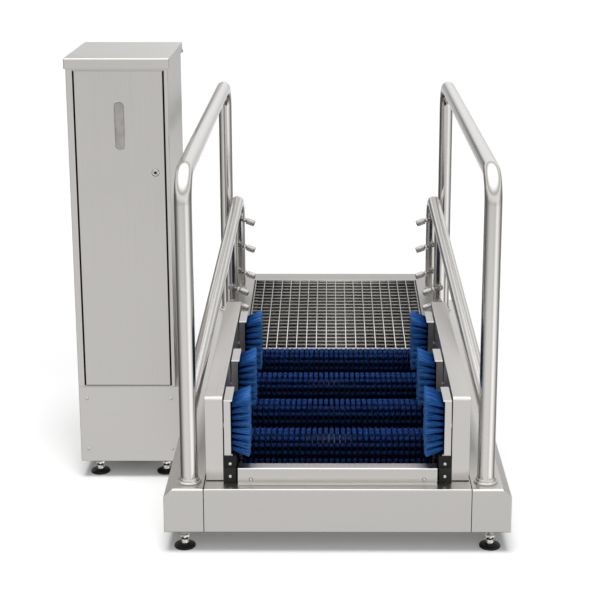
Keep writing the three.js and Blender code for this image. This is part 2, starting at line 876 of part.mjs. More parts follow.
function nozzlePlaces(side) {
  const legs = [
    [rearLeg, rearNozzleShares],
    [middleLeg, middleNozzleShares],
  ];
  return legs.flatMap(([leg, shares]) =>
    shares.map((share) => ({ leg, pivot: nozzlePivot(leg, share, side) })),
  );
}

// Nozzle: an eye on its pivot pin, a neck, a collar and a cap that points inwards and down
function nozzle(pivot, side, swivels = true) {
  const profile = [
    [0, 0],
    [neckRadius, 0],
    [neckRadius, collarStart],
    [nozzleCollar, neckEnd],
    [nozzleCollar, capStart],
    [capRadius, capStart],
    [capRadius, nozzleLength - overrun],
    [capRadius - overrun, nozzleLength],
    [orificeRadius, nozzleLength],
    [orificeRadius, nozzleLength - orificeDepth],
    [0, nozzleLength - orificeDepth],
  ];
  const points = profile.map(([r, z]) => new THREE.Vector2(r, z));
  const stem = new THREE.LatheGeometry(points, smallSides);
  stem.rotateX(Math.PI / 2).rotateY(-side * (Math.PI / 2 + nozzleDip));
  stem.translate(pivot.x, pivot.y, pivot.z);
  const width = [pivot.y - eyeLength / 2, pivot.y + eyeLength / 2];
  const eye = rod("y", [pivot.z, pivot.x], eyeRadius, width, smallSides);
  const body = join(stem, eye);
  if (!swivels) return body;
  const past = [pivot.y - eyeLength, pivot.y + eyeLength];
  return cut(body, drill("y", [pivot.z, pivot.x], pinRadius + running, past, smallSides));
}

// Foot: a rubber disc, a spindle with its lock nut, and the plate welded under the sheet
function levellingFoot(x, y, top) {
  const plateTop = top - seat;
  const plateBottom = plateTop - footPlateHeight;
  const profile = [
    [0, 0],
    [discRadius, 0],
    [discRadius, discHeight - discEdge],
    [discRadius - discEdge, discHeight],
    [spindleRadius, discHeight + discEdge],
    [spindleRadius, plateTop - overrun],
    [0, plateTop - overrun],
  ];
  const nut = rod("z", [x, y], nutRadius, [plateBottom - nutHeight, plateBottom + overrun], roundSides / 2);
  const half = footPlate / 2;
  const plate = box([x - half, x + half], [y - half, y + half], [plateBottom, plateTop]);
  return join(turned(profile, [x, y]), nut, plate);
}

// Cabinet plinth: an open sheet box with flanges below for its feet, and the supply duct
function cabinetPlinth() {
  const inner = (range) => [range[0] + sheet, range[1] - sheet];
  const flanged = (range) => [range[0] + plinthFlange, range[1] - plinthFlange];
  const width = [plinthLeft, plinthRight];
  const depth = [plinthFront, plinthRear];
  const middle = [(plinthLeft + plinthRight) / 2, (plinthFront + plinthRear) / 2];
  const duct = rod("x", [middle[1], ductHeight], ductRadius, [plinthRight - sheet / 2, -baseHalf - seat]);
  return cut(
    join(box(width, depth, [plinthBottom, plinthTop]), duct),
    box(inner(width), inner(depth), [plinthBottom + sheet, plinthTop - sheet]),
    box(flanged(width), flanged(depth), [plinthBottom - overrun, plinthBottom + sheet + overrun]),
    rod("z", middle, hoseHole, [plinthTop - sheet - overrun, plinthTop + overrun]),
    rod("x", [middle[1], ductHeight], ductRadius - sheet, [plinthRight - 2 * sheet, -baseHalf + overrun]),
  );
}

// Cabinet body: five walls with a stile on each side of the door
function cabinetBody() {
  const width = [cabinetLeft, cabinetRight];
  const depth = [plinthFront, plinthRear];
  const inside = [cabinetLeft + sheet, cabinetRight - sheet];
  const high = [cabinetBottom + sheet, cabinetTop - sheet];
  const doorway = [doorLeft - doorGap, doorRight + doorGap];
  const middle = [(plinthLeft + plinthRight) / 2, (plinthFront + plinthRear) / 2];
  const pins = [
    [cabinetBottom - overrun, high[0] + overrun],
    [high[1] - overrun, cabinetTop + overrun],
  ].map((range) => drill("z", doorAxis(), hingeRadius + running, range, smallSides));
  return cut(
    box(width, depth, [cabinetBottom, cabinetTop]),
    box(inside, [plinthFront + stileDepth, plinthRear - sheet], high),
    box(doorway, [plinthFront - overrun, plinthFront + stileDepth + overrun], high),
    rod("z", middle, hoseHole, [cabinetBottom - overrun, high[0] + overrun]),
    ...pins,
  );
}

function doorAxis() {
  return [doorLeft + hingeInset, plinthFront + hingeInset];
}

function obround(centreX, bottom, width, height, steps = roundSides / 2) {
  const radius = width / 2;
  const cap = (z, start) =>
    Array.from({ length: steps + 1 }, (_, i) => {
      const angle = start + (i / steps) * Math.PI;
      return [z + radius * Math.sin(angle), centreX + radius * Math.cos(angle)];
    });
  return [...cap(bottom + height - radius, 0), ...cap(bottom + radius, Math.PI)];
}

// Door: a folded pan with a slot for the sight window, a lock bore and two hinge pins
function cabinetDoor() {
  const front = plinthFront;
  const back = front + doorThickness;
  const pins = [
    [doorBottom - hingeLength, doorBottom + overrun],
    [doorTop - overrun, doorTop + hingeLength],
  ].map((range) => spindle("z", doorAxis(), hingeRadius, range, smallSides));
  const lock = lockPlace();
  const rim = 2 * hingeInset + cover;
  const pan = [
    [doorLeft + rim, doorRight - rim],
    [front + cover, back + overrun],
    [doorBottom + rim, doorTop - rim],
  ];
  return cut(
    join(box([doorLeft, doorRight], [front, back], [doorBottom, doorTop]), ...pins),
    box(...pan),
    prism("y", obround(doorMiddle, windowBottom, windowWidth, windowHeight), [front - overrun, back]),
    drill("y", [lock.z, lock.x], barrelRadius + running, [front - overrun, back]),
  );
}

function lockPlace() {
  return new THREE.Vector3(doorRight - lockInset, plinthFront, lockHeight);
}

function sightWindow() {
  const back = plinthFront + cover + seat;
  const outline = obround(
    doorMiddle,
    windowBottom - paneMargin,
    windowWidth + 2 * paneMargin,
    windowHeight + 2 * paneMargin,
  );
  return prism("y", outline, [back, back + paneThickness]);
}

// Lock: a round head, a barrel through the door and a cam that hangs down while it is open
function doorLock() {
  const { x, y, z } = lockPlace();
  const camFront = y + doorThickness + seat;
  return join(
    rod("y", [z, x], lockRadius, [y - seat - lockHead, y - seat]),
    spindle("y", [z, x], barrelRadius, [y - seat - overrun, camFront + camThickness]),
    box(
      [x - camWidth / 2, x + camWidth / 2],
      [camFront, camFront + camThickness],
      [z - camLength, z + camWidth / 2],
    ),
  );
}

// Lid: a folded cap over the cabinet, hinged along its rear edge
function cabinetLid() {
  const width = [cabinetLeft - lidOverhang, cabinetRight + lidOverhang];
  const depth = [plinthFront - lidOverhang, plinthRear + lidOverhang];
  const bottom = cabinetTop + seat;
  const inner = (range) => [range[0] + cover + lidOverhang * 2, range[1] - cover - lidOverhang * 2];
  return cut(
    box(width, depth, [bottom, bottom + lidHeight]),
    box(inner(width), inner(depth), [bottom - overrun, bottom + lidHeight - cover]),
  );
}

// Canister for the cleaning agent, on the cabinet floor
function canister() {
  const middle = [(cabinetLeft + cabinetRight) / 2, (plinthFront + plinthRear) / 2 + doorThickness / 2];
  const bottom = cabinetBottom + sheet + seat;
  const top = bottom + canHeight;
  return join(
    box(
      [middle[0] - canWidth / 2, middle[0] + canWidth / 2],
      [middle[1] - canDepth / 2, middle[1] + canDepth / 2],
      [bottom, top],
    ),
    rod("z", [middle[0], middle[1] - canDepth / 4], canNeckRadius, [top - overrun, top + canNeckHeight]),
  );
}

// Assembly
add("base_tray", baseTray(), steel);
add("front_lip", frontLip(), steel);
add("deck_frame", deckFrame(), steel);
add("deck_grating", deckGrating(), steelShade);
for (const [name, side] of SIDES) {
  add(`side_beam_${name}`, sideBeam(side), steel);
  add(`bearing_rail_${name}`, bearingRail(side), plastic);
  add(`drive_cover_${name}`, driveCover(side), steel);
  add(`handrail_${name}`, handrail(side), steel);
  add(`lower_rail_${name}`, lowerRail(side), steel);
  brushPlaceShares.forEach((share, i) => {
    const front = brushRunFront + share * brushRun;
    add(`brush_holder_${name}_${i + 1}`, brushHolder(side, front), steel);
    add(`side_brush_${name}_${i + 1}`, sideBrush(side, front), bristle);
  });
  nozzlePlaces(side).forEach(({ pivot }, i) => {
    add(`spray_nozzle_${name}_${i + 1}`, nozzle(pivot, side), steel);
  });
  [baseFootPlace, baseLength - baseFootPlace].forEach((y, i) => {
    const foot = levellingFoot((baseHalf - baseFootInset) * side, y, footHeight);
    add(`base_foot_${name}_${i + 1}`, foot, plastic);
  });
}
rollerPlaces().forEach((y, i) => {
  add(`sole_brush_${i + 1}`, soleBrush(y), bristle);
  add(`brush_shaft_${i + 1}`, brushShaft(y), steelShade);
});
add("drive_chain", driveChain(), steelShade);
add("gear_motor", gearMotor(), paint);
add("drive_sprocket", driveSprocket(), steelShade);
add("cabinet_plinth", cabinetPlinth(), steel);
add("cabinet_body", cabinetBody(), steel);
add("cabinet_door", cabinetDoor(), steel);
add("sight_window", sightWindow(), polymer);
add("door_lock", doorLock(), steel);
add("cabinet_lid", cabinetLid(), steel);
add("canister", canister(), polymer);
[plinthLeft + cabinetFootInset, plinthRight - cabinetFootInset].forEach((x, column) => {
  [plinthFront + cabinetFootInset, plinthRear - cabinetFootInset].forEach((y, row) => {
    add(`cabinet_foot_${2 * column + row + 1}`, levellingFoot(x, y, plinthBottom), plastic);
  });
});

// The origin is the middle of the whole footprint, on the floor
const leftmost = cabinetLeft - lidOverhang;
machine.position.set(-(leftmost + baseHalf) / 2, -baseLength / 2, 0);

export default machine;
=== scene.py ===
"""A walk-through boot washer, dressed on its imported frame.

Sizes are in millimetres on the machine's own axes: u to the right of the centre line, v from
the base's front face along the walk, z up from the floor. Surface.mesh turns them into metres
in the frame's axes.
"""

import logging
import math
from dataclasses import dataclass
from enum import Enum
from typing import Callable, Iterable, Optional, Sequence

import bmesh
import bpy
import numpy as np
from mathutils import Matrix, Vector

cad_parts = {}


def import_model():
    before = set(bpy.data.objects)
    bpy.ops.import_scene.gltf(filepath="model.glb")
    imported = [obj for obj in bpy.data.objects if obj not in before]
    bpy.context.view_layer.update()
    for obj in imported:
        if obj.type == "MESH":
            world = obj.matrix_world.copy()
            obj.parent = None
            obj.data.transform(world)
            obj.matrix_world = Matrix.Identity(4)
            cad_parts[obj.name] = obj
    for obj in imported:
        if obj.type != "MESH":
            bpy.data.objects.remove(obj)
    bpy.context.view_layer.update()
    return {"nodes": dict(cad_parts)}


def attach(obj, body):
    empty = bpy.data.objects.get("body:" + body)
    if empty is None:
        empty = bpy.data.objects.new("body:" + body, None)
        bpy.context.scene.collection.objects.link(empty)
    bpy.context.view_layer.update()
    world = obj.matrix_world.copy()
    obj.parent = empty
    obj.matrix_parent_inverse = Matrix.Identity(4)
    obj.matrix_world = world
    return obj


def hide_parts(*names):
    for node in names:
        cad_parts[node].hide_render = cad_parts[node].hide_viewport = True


log = logging.getLogger("boot_washer")

Profile = Sequence[tuple[float, float]]
Ripple = Callable[[np.ndarray, np.ndarray], np.ndarray]

ORIGIN = np.array([159.0, -886.0, 0.0])
SIDES = {"left": -1, "right": 1}
SEAT = 0.3
MILLIMETRES = 1000.0
WELD_REACH = 1e-6
GOLDEN_ANGLE = 2.39996


class Grain(Enum):
    """Which way the brushing of a sheet or tube runs, as noise stretch along each axis."""

    ALONG_X = (3.0, 700.0, 700.0)
    ALONG_Y = (700.0, 3.0, 700.0)
    ALONG_Z = (700.0, 700.0, 3.0)
    SATIN = (160.0, 160.0, 160.0)


class Body(str, Enum):
    """Bodies that pieces ride on and that are named more than once."""

    FRAME = "frame"
    DOOR = "door"
    LOCK = "lock"
    LID = "lid"


# Surfaces


@dataclass
class Surface:
    """Points and faces kept as whole arrays until they become a mesh.

    Attributes:
        points: Places in millimetres, one row each.
        faces: Index arrays, one for each count of corners.
        along: A value for each point, such as 0 at a bristle's root and 1 at its tip.
        shade: A value for each point that is the same all over one strand.
    """

    points: np.ndarray
    faces: list[np.ndarray]
    along: Optional[np.ndarray] = None
    shade: Optional[np.ndarray] = None

    @staticmethod
    def joined(parts: Iterable["Surface"]) -> "Surface":
        """Puts several surfaces into one, with their indices moved on.

        Args:
            parts: The surfaces, in order.

        Returns:
            The one surface. It has values only where all of them have.
        """
        parts = list(parts)
        starts = np.cumsum([0] + [len(p.points) for p in parts])
        faces: dict[int, list[np.ndarray]] = {}
        for part, start in zip(parts, starts):
            for face in part.faces:
                faces.setdefault(face.shape[1], []).append(face + start)
        values = [[getattr(p, name) for p in parts] for name in ("along", "shade")]
        return Surface(
            np.concatenate([p.points for p in parts]),
            [np.concatenate(group) for group in faces.values()],
            *[None if any(v is None for v in each) else np.concatenate(each) for each in values],
        )

    def moved(self, u: float = 0, v: float = 0, z: float = 0) -> "Surface":
        """The same surface at another place.

        Args:
            u: How far it goes to the right.
            v: How far it goes along the walk.
            z: How far it goes up.

        Returns:
            The moved surface.
        """
        return Surface(self.points + np.array([u, v, z]), self.faces, self.along, self.shade)

    def turned(self, axis: str, angle: float) -> "Surface":
        """The same surface turned about an axis through the origin.

        Args:
            axis: X, Y or Z.
            angle: The angle in radians.

        Returns:
            The turned surface.
        """
        matrix = np.array(Matrix.Rotation(angle, 3, axis))
        return Surface(self.points @ matrix.T, self.faces, self.along, self.shade)

    def on_side(self, side: int) -> "Surface":
        """The surface for the right side, or its mirror image for the left.

        Args:
            side: Minus one on the left, one on the right.

        Returns:
            The surface, with its faces outwards on either side.
        """
        if side > 0:
            return self
        flipped = [face[:, ::-1] for face in self.faces]
        return Surface(self.points * np.array([-1.0, 1.0, 1.0]), flipped, self.along, self.shade)

    def mesh(self, name: str, weld: bool = True) -> bpy.types.Object:
        """Makes the Blender object, in metres, in the frame's axes.

        Args:
            name: The object's name.
            weld: Merges points that coincide, such as a pole's.

        Returns:
            The object, linked to the scene.
        """
        data = bpy.data.meshes.new(name)
        data.vertices.add(len(self.points))
        data.vertices.foreach_set("co", ((self.points + ORIGIN) / MILLIMETRES).ravel().astype(np.float32))
        sizes = np.concatenate([np.full(len(f), f.shape[1]) for f in self.faces])
        corners = np.concatenate([f.ravel() for f in self.faces])
        data.loops.add(len(corners))
        data.loops.foreach_set("vertex_index", corners.astype(np.int32))
        data.polygons.add(len(sizes))
        starts = np.cumsum(sizes) - sizes
        data.polygons.foreach_set("loop_start", starts.astype(np.int32))
        data.update(calc_edges=True)
        data.validate()
        for label, values in (("along", self.along), ("shade", self.shade)):
            if values is not None:
                layer = data.attributes.new(label, "FLOAT", "POINT")
                layer.data.foreach_set("value", values.astype(np.float32))
        if weld:
            welded = bmesh.new()
            welded.from_mesh(data)
            bmesh.ops.remove_doubles(welded, verts=welded.verts, dist=WELD_REACH)
            welded.to_mesh(data)
            welded.free()
        made = bpy.data.objects.new(name, data)
        bpy.context.scene.collection.objects.link(made)
        return made


def skin(grid: np.ndarray, capped: bool = True) -> Surface:
    """A tube-like skin over a grid of points: rows run along it, columns run round it.

    The face of row i and column j joins points (i, j), (i, j+1), (i+1, j+1) and (i+1, j), with
    the column after the last being the first. Columns run anticlockwise seen from the far end.

    Args:
        grid: Points of shape (rows, columns, 3).
        capped: Closes both ends with one flat face each.

    Returns:
        The closed skin.
    """
    rows, columns = grid.shape[:2]
    i, j = np.meshgrid(np.arange(rows - 1), np.arange(columns), indexing="ij")
    after = (j + 1) % columns
    quads = np.stack([i * columns + j, i * columns + after, (i + 1) * columns + after,
                      (i + 1) * columns + j], -1).reshape(-1, 4)
    faces = [quads]
    if capped:
        ring = np.arange(columns)
        faces.append(np.stack([ring[::-1], ring + (rows - 1) * columns]))
    return Surface(grid.reshape(-1, 3), faces)


def lathed(profile: Profile, sides: int = 48, ripple: Optional[Ripple] = None) -> Surface:
    """A turned shape about the upright axis.

    A point at angle a on profile row (r, z) is (r cos a, r sin a, z), with r multiplied by
    ripple(row, a) where one is given, which makes flutes, knurls or hexagons.

    Args:
        profile: Radius and height pairs, from the bottom of the axis to its top.
        sides: Points round it.
        ripple: A factor for the radius, from the row's number and the angle.

    Returns:
        The closed shape.
    """
    return skin(spun(profile, sides, ripple))


def spun(profile: Profile, sides: int, ripple: Optional[Ripple] = None) -> np.ndarray:
    """The grid of a turned shape, by the formula of lathed.

    Args:
        profile: Radius and height pairs.
        sides: Points round it.
        ripple: A factor for the radius, from the row's number and the angle.

    Returns:
        Points of shape (rows, sides, 3).
    """
    rows = np.array(profile, float)
    angle = np.arange(sides) * 2 * np.pi / sides
    radius = rows[:, :1] * np.ones(sides)
    if ripple:
        radius = radius * ripple(np.arange(len(rows))[:, None] * np.ones(sides), angle[None, :])
    return np.stack([radius * np.cos(angle), radius * np.sin(angle), rows[:, 1:] * np.ones(sides)], -1)


def tubular(section: Profile, sides: int) -> Surface:
    """A turned shape with a bore: a section that closes on itself, spun without end caps.

    Args:
        section: Radius and height pairs round the section, the last as the first.
        sides: Points round it.

    Returns:
        The closed shape.
    """
    return skin(spun(section, sides), capped=False)


def hexagon(rows: Sequence[int]) -> Ripple:
    """A ripple that makes some rows six-sided: the flat's distance over the cosine of the angle
    past the middle of each side.

    Args:
        rows: The rows' numbers.

    Returns:
        The ripple.
    """
    def ripple(row: np.ndarray, angle: np.ndarray) -> np.ndarray:
        """Gives the factor of each point."""
        past = (angle + np.pi / 6) % (np.pi / 3) - np.pi / 6
        return np.where(np.isin(row, rows), 1 / np.cos(past), 1.0)
    return ripple


def fluted(rows: Sequence[int], count: int, depth: float) -> Ripple:
    """A ripple that cuts flutes into some rows: one minus depth times a raised cosine.

    Args:
        rows: The rows' numbers.
        count: Flutes round the shape.
        depth: Their depth as a share of the radius.

    Returns:
        The ripple.
    """
    def ripple(row: np.ndarray, angle: np.ndarray) -> np.ndarray:
        """Gives the factor of each point."""
        return np.where(np.isin(row, rows), 1 - depth * (0.5 + 0.5 * np.cos(count * angle)), 1.0)
    return ripple


def bend(corners: Sequence[Sequence[float]], radius: float, steps: int = 14) -> np.ndarray:
    """A route through corners, each inner one rounded to an arc.

    At a corner with directions a in and b out, the arc starts radius times tan of half the turn
    before it, and runs round a centre that lies at right angles to a on b's side.

    Args:
        corners: The route's corners.
        radius: The arcs' radius.
        steps: Steps in each arc.

    Returns:
        The route's points.
    """
    corners = np.array(corners, float)
    pieces = [corners[:1]]
    for before, here, after in zip(corners, corners[1:], corners[2:]):
        into = (here - before) / np.linalg.norm(here - before)
        out = (after - here) / np.linalg.norm(after - here)
        turn = math.acos(float(into @ out))
        inward = out - into * (into @ out)
        inward /= np.linalg.norm(inward)
        start = here - into * radius * math.tan(turn / 2)
        angle = np.linspace(0, turn, steps + 1)[:, None]
        pieces.append(start + inward * radius * (1 - np.cos(angle)) + into * radius * np.sin(angle))
    pieces.append(corners[-1:])
    return np.concatenate(pieces)


def ring_of(radius: float, sides: int) -> np.ndarray:
    """A circle's points: (radius cos a, radius sin a).

    Args:
        radius: The circle's radius.
        sides: How many points.

    Returns:
        Points of shape (sides, 2), anticlockwise.
    """
    angle = np.arange(sides) * 2 * np.pi / sides
    return radius * np.stack([np.cos(angle), np.sin(angle)], -1)


def plate_ring(width: float, height: float, edge: float) -> np.ndarray:
    """A rectangle with its four corners cut at 45 degrees.

    Args:
        width: Its size on the first axis.
        height: Its size on the second axis.
        edge: How far the cuts reach.

    Returns:
        Eight points, anticlockwise.
    """
    w, h = width / 2, height / 2
    return np.array([(w, -h + edge), (w, h - edge), (w - edge, h), (-w + edge, h),
                     (-w, h - edge), (-w, -h + edge), (-w + edge, -h), (w - edge, -h)])


def carried(ring: np.ndarray, route: np.ndarray, across: Sequence[float]) -> Surface:
    """A flat ring carried along a route.

    At each station the ring's first axis is the across direction less its part along the
    route, and its second is the route's direction crossed with the first.

    Args:
        ring: Points of shape (k, 2), anticlockwise.
        route: Stations of shape (n, 3).
        across: The direction of the ring's first axis.

    Returns:
        The closed, capped skin.
    """
    route = np.array(route, float)
    steps = np.diff(route, axis=0)
    steps /= np.linalg.norm(steps, axis=1, keepdims=True)
    along = np.concatenate([steps[:1], steps[:-1] + steps[1:], steps[-1:]])
    along /= np.linalg.norm(along, axis=1, keepdims=True)
    first = np.array(across, float) - along * (along @ np.array(across, float))[:, None]
    first /= np.linalg.norm(first, axis=1, keepdims=True)
    second = np.cross(along, first)
    stretch = np.ones(len(route))
    stretch[1:-1] = 1 / np.sqrt((1 + np.sum(steps[:-1] * steps[1:], axis=1)) / 2)
    grid = (route[:, None] + ring[None, :, :1] * first[:, None]
            + ring[None, :, 1:] * second[:, None] * stretch[:, None, None])
    return skin(grid)


def block(u: Sequence[float], v: Sequence[float], z: Sequence[float], edge: float = 1.0) -> Surface:
    """A box with chamfered edges: a sphere's grid in which each eighth is pushed to its corner.

    A point is the corner of the box less its edge, with the sign of its eighth, plus edge times
    the direction (cos e cos a, cos e sin a, sin e).

    Args:
        u: Limits across.
        v: Limits along.
        z: Limits in height.
        edge: The edges' radius.

    Returns:
        The closed box.
    """
    low = np.array([min(u), min(v), min(z)], float)
    high = np.array([max(u), max(v), max(z)], float)
    centre, half = (low + high) / 2, (high - low) / 2 - edge
    quarter = np.array([0, 45, 90]) * np.pi / 180
    around = np.concatenate([quarter + k * np.pi / 2 for k in range(4)])
    column_u = np.repeat([1, -1, -1, 1], 3)
    column_v = np.repeat([1, 1, -1, -1], 3)
    height = np.concatenate([-quarter[::-1], quarter])
    row_z = np.repeat([-1, 1], 3)
    cos_h = np.cos(height)[:, None]
    grid = np.stack([
        centre[0] + half[0] * column_u + edge * cos_h * np.cos(around),
        centre[1] + half[1] * column_v + edge * cos_h * np.sin(around),
        (centre[2] + half[2] * row_z + edge * np.sin(height))[:, None] + 0 * around,
    ], -1)
    return skin(grid)


def strands(roots: np.ndarray, tips: np.ndarray, root_radius: float, tip_radius: float,
            random: np.random.Generator, start: "np.ndarray | float" = 0.0) -> Surface:
    """Many thin closed three-sided strands at once.

    Each ring's points stand at a third of a turn from each other, in the plane at right angles
    to its strand, at a random start angle.

    Args:
        roots: Root places, (n, 3).
        tips: Tip places, (n, 3).
        root_radius: Radius at the roots.
        tip_radius: Radius at the tips.
        random: Gives each strand its turn and its shade.
        start: The along value at the roots.

    Returns:
        All the strands, with along and shade values.
    """
    count = len(roots)
    axis = tips - roots
    axis /= np.linalg.norm(axis, axis=1, keepdims=True)
    helper = np.where(np.abs(axis[:, :1]) < 0.8, [[1.0, 0, 0]], [[0, 1.0, 0]])
    first = np.cross(axis, helper)
    first /= np.linalg.norm(first, axis=1, keepdims=True)
    second = np.cross(axis, first)
    angle = random.uniform(0, 2 * np.pi, (count, 1)) + np.arange(3) * 2 * np.pi / 3
    round_it = np.cos(angle)[..., None] * first[:, None] + np.sin(angle)[..., None] * second[:, None]
    points = np.stack([roots[:, None] + root_radius * round_it, tips[:, None] + tip_radius * round_it], 1)
    base = np.arange(count)[:, None] * 6
    quads = [base + np.array([j, (j + 1) % 3, 3 + (j + 1) % 3, 3 + j]) for j in range(3)]
    ends = [base + np.array([2, 1, 0]), base + np.array([3, 4, 5])]
    along = np.stack([np.zeros(count) + start, np.ones(count)], 1).repeat(3, axis=1).ravel()
    shade = np.repeat(random.uniform(0, 1, count), 6)
    return Surface(points.reshape(-1, 3), [np.concatenate(quads), np.concatenate(ends)], along, shade)


# Finishes


Value = bpy.types.NodeSocket | float


class NodeTree:
    """Lays out the nodes of a material or of the world."""

    def __init__(self, tree: bpy.types.NodeTree) -> None:
        """Starts with an empty tree, which belongs to the material or the world."""
        self.nodes, self.links = tree.nodes, tree.links
        self.nodes.clear()

    def maths(self, operation: str, a: Value, b: Value) -> bpy.types.NodeSocket:
        """Joins two values with a sum, a product or the like.

        Args:
            operation: The Math node's operation.
            a: The first value, a socket or a number.
            b: The second value.

        Returns:
            The result.
        """
        node = self.nodes.new("ShaderNodeMath")
        node.operation = operation
        for value, socket in zip((a, b), node.inputs):
            if isinstance(value, (int, float)):
                socket.default_value = value
            else:
                self.links.new(value, socket)
        return node.outputs[0]

    def blended(self, a: Value, b: Value, share: Value) -> bpy.types.NodeSocket:
        """A value times one minus the share, plus another value times the share.

        Args:
            a: The value where the share is nothing.
            b: The value where the share is one.
            share: The share.

        Returns:
            The result.
        """
        rest = self.maths("MULTIPLY", a, self.maths("SUBTRACT", 1.0, share))
        return self.maths("ADD", rest, self.maths("MULTIPLY", b, share))

    def ramp(self, value: bpy.types.NodeSocket, stops: Sequence[tuple[float, Sequence[float]]],
             easing: str = "LINEAR") -> bpy.types.NodeSocket:
        """Colours a value through stops.

        Args:
            value: The value.
            stops: Place and colour of each stop, in order.
            easing: How the ramp runs from stop to stop.

        Returns:
            The colour.
        """
        node = self.nodes.new("ShaderNodeValToRGB")
        node.color_ramp.interpolation = easing
        ends = node.color_ramp.elements
        ends[0].position, ends[1].position = stops[0][0], stops[-1][0]
        ends[0].color, ends[1].color = (*stops[0][1], 1), (*stops[-1][1], 1)
        for place, colour in stops[1:-1]:
            ends.new(place).color = (*colour, 1)
        self.links.new(value, node.inputs[0])
        return node.outputs[0]


class Graph(NodeTree):
    """A material's nodes, round one principled shader."""

    def __init__(self, name: str) -> None:
        """Starts a material of the given name with its shader and output."""
        self.material = bpy.data.materials.new(name)
        self.material.use_nodes = True
        super().__init__(self.material.node_tree)
        self.output = self.nodes.new("ShaderNodeOutputMaterial")
        self.shader = self.nodes.new("ShaderNodeBsdfPrincipled")
        self.links.new(self.shader.outputs[0], self.output.inputs["Surface"])

    def attribute(self, name: str) -> bpy.types.NodeSocket:
        """The value that each point of a piece has under a name.

        Args:
            name: The name.

        Returns:
            The value.
        """
        node = self.nodes.new("ShaderNodeAttribute")
        node.attribute_name = name
        return node.outputs["Fac"]

    def noise(self, scale: Sequence[float], detail: float = 2.0, rough: float = 0.5) -> bpy.types.NodeSocket:
        """Noise on object coordinates.

        Args:
            scale: How much the coordinates are stretched along each axis.
            detail: The noise's octaves.
            rough: How strong the fine octaves are.

        Returns:
            The noise's value, around one half.
        """
        place = self.nodes.new("ShaderNodeTexCoord")
        stretch = self.nodes.new("ShaderNodeMapping")
        stretch.inputs["Scale"].default_value = scale
        made = self.nodes.new("ShaderNodeTexNoise")
        made.inputs["Scale"].default_value = 1.0
        made.inputs["Detail"].default_value = detail
        made.inputs["Roughness"].default_value = rough
        self.links.new(place.outputs["Object"], stretch.inputs["Vector"])
        self.links.new(stretch.outputs[0], made.inputs["Vector"])
        return made.outputs[0]

    def ranged(self, value: bpy.types.NodeSocket, low: float, high: float,
               start: float = 0.3, end: float = 0.7) -> bpy.types.NodeSocket:
        """Maps a value from one range to another, and keeps it in that range.

        Args:
            value: The value.
            low: The result at the start.
            high: The result at the end.
            start: Where the value's range starts.
            end: Where it ends.

        Returns:
            The mapped value.
        """
        node = self.nodes.new("ShaderNodeMapRange")
        node.inputs["From Min"].default_value = start
        node.inputs["From Max"].default_value = end
        node.inputs["To Min"].default_value = low
        node.inputs["To Max"].default_value = high
        self.links.new(value, node.inputs["Value"])
        return node.outputs[0]

    def multiplied(self, a: bpy.types.NodeSocket, b: bpy.types.NodeSocket) -> bpy.types.NodeSocket:
        """The product of two colours.

        Args:
            a: One colour.
            b: The other.

        Returns:
            Their product.
        """
        node = self.nodes.new("ShaderNodeMix")
        node.data_type = "RGBA"
        node.blend_type = "MULTIPLY"
        node.inputs["Factor"].default_value = 1.0
        self.links.new(a, node.inputs[6])
        self.links.new(b, node.inputs[7])
        return node.outputs[2]

    def bump(self, value: bpy.types.NodeSocket, strength: float, distance: float) -> None:
        """Raises the surface by a value.

        Args:
            value: The height's value, 0 to 1.
            strength: How strongly the shading follows it.
            distance: The full height in metres.
        """
        node = self.nodes.new("ShaderNodeBump")
        node.inputs["Strength"].default_value = strength
        node.inputs["Distance"].default_value = distance
        self.links.new(value, node.inputs["Height"])
        self.links.new(node.outputs[0], self.shader.inputs["Normal"])

    def set(self, **values: float) -> None:
        """Sets the shader's own sockets, with underscores for the spaces in their names."""
        for label, value in values.items():
            self.shader.inputs[label.replace("_", " ")].default_value = value


CLOUD_STRETCH = (5.0, 5.0, 5.0)
CLOUD_SHARE = 0.3
STEEL_TINT = (1.03, 1.0, 0.965)
# Greys of the painted shade that darkens a piece where its along value is low.
GRIME_STOPS = ((0.0, 0.30), (0.3, 0.5), (0.65, 0.85), (1.0, 1.0))
# Where the painted shade along the covers' feet lies, across and along in metres, and how deep it is.
STAIN_ACROSS = (0.402, 0.430)
STAIN_ALONG = (-0.82, -0.60)
STAIN_DEPTH = 0.5


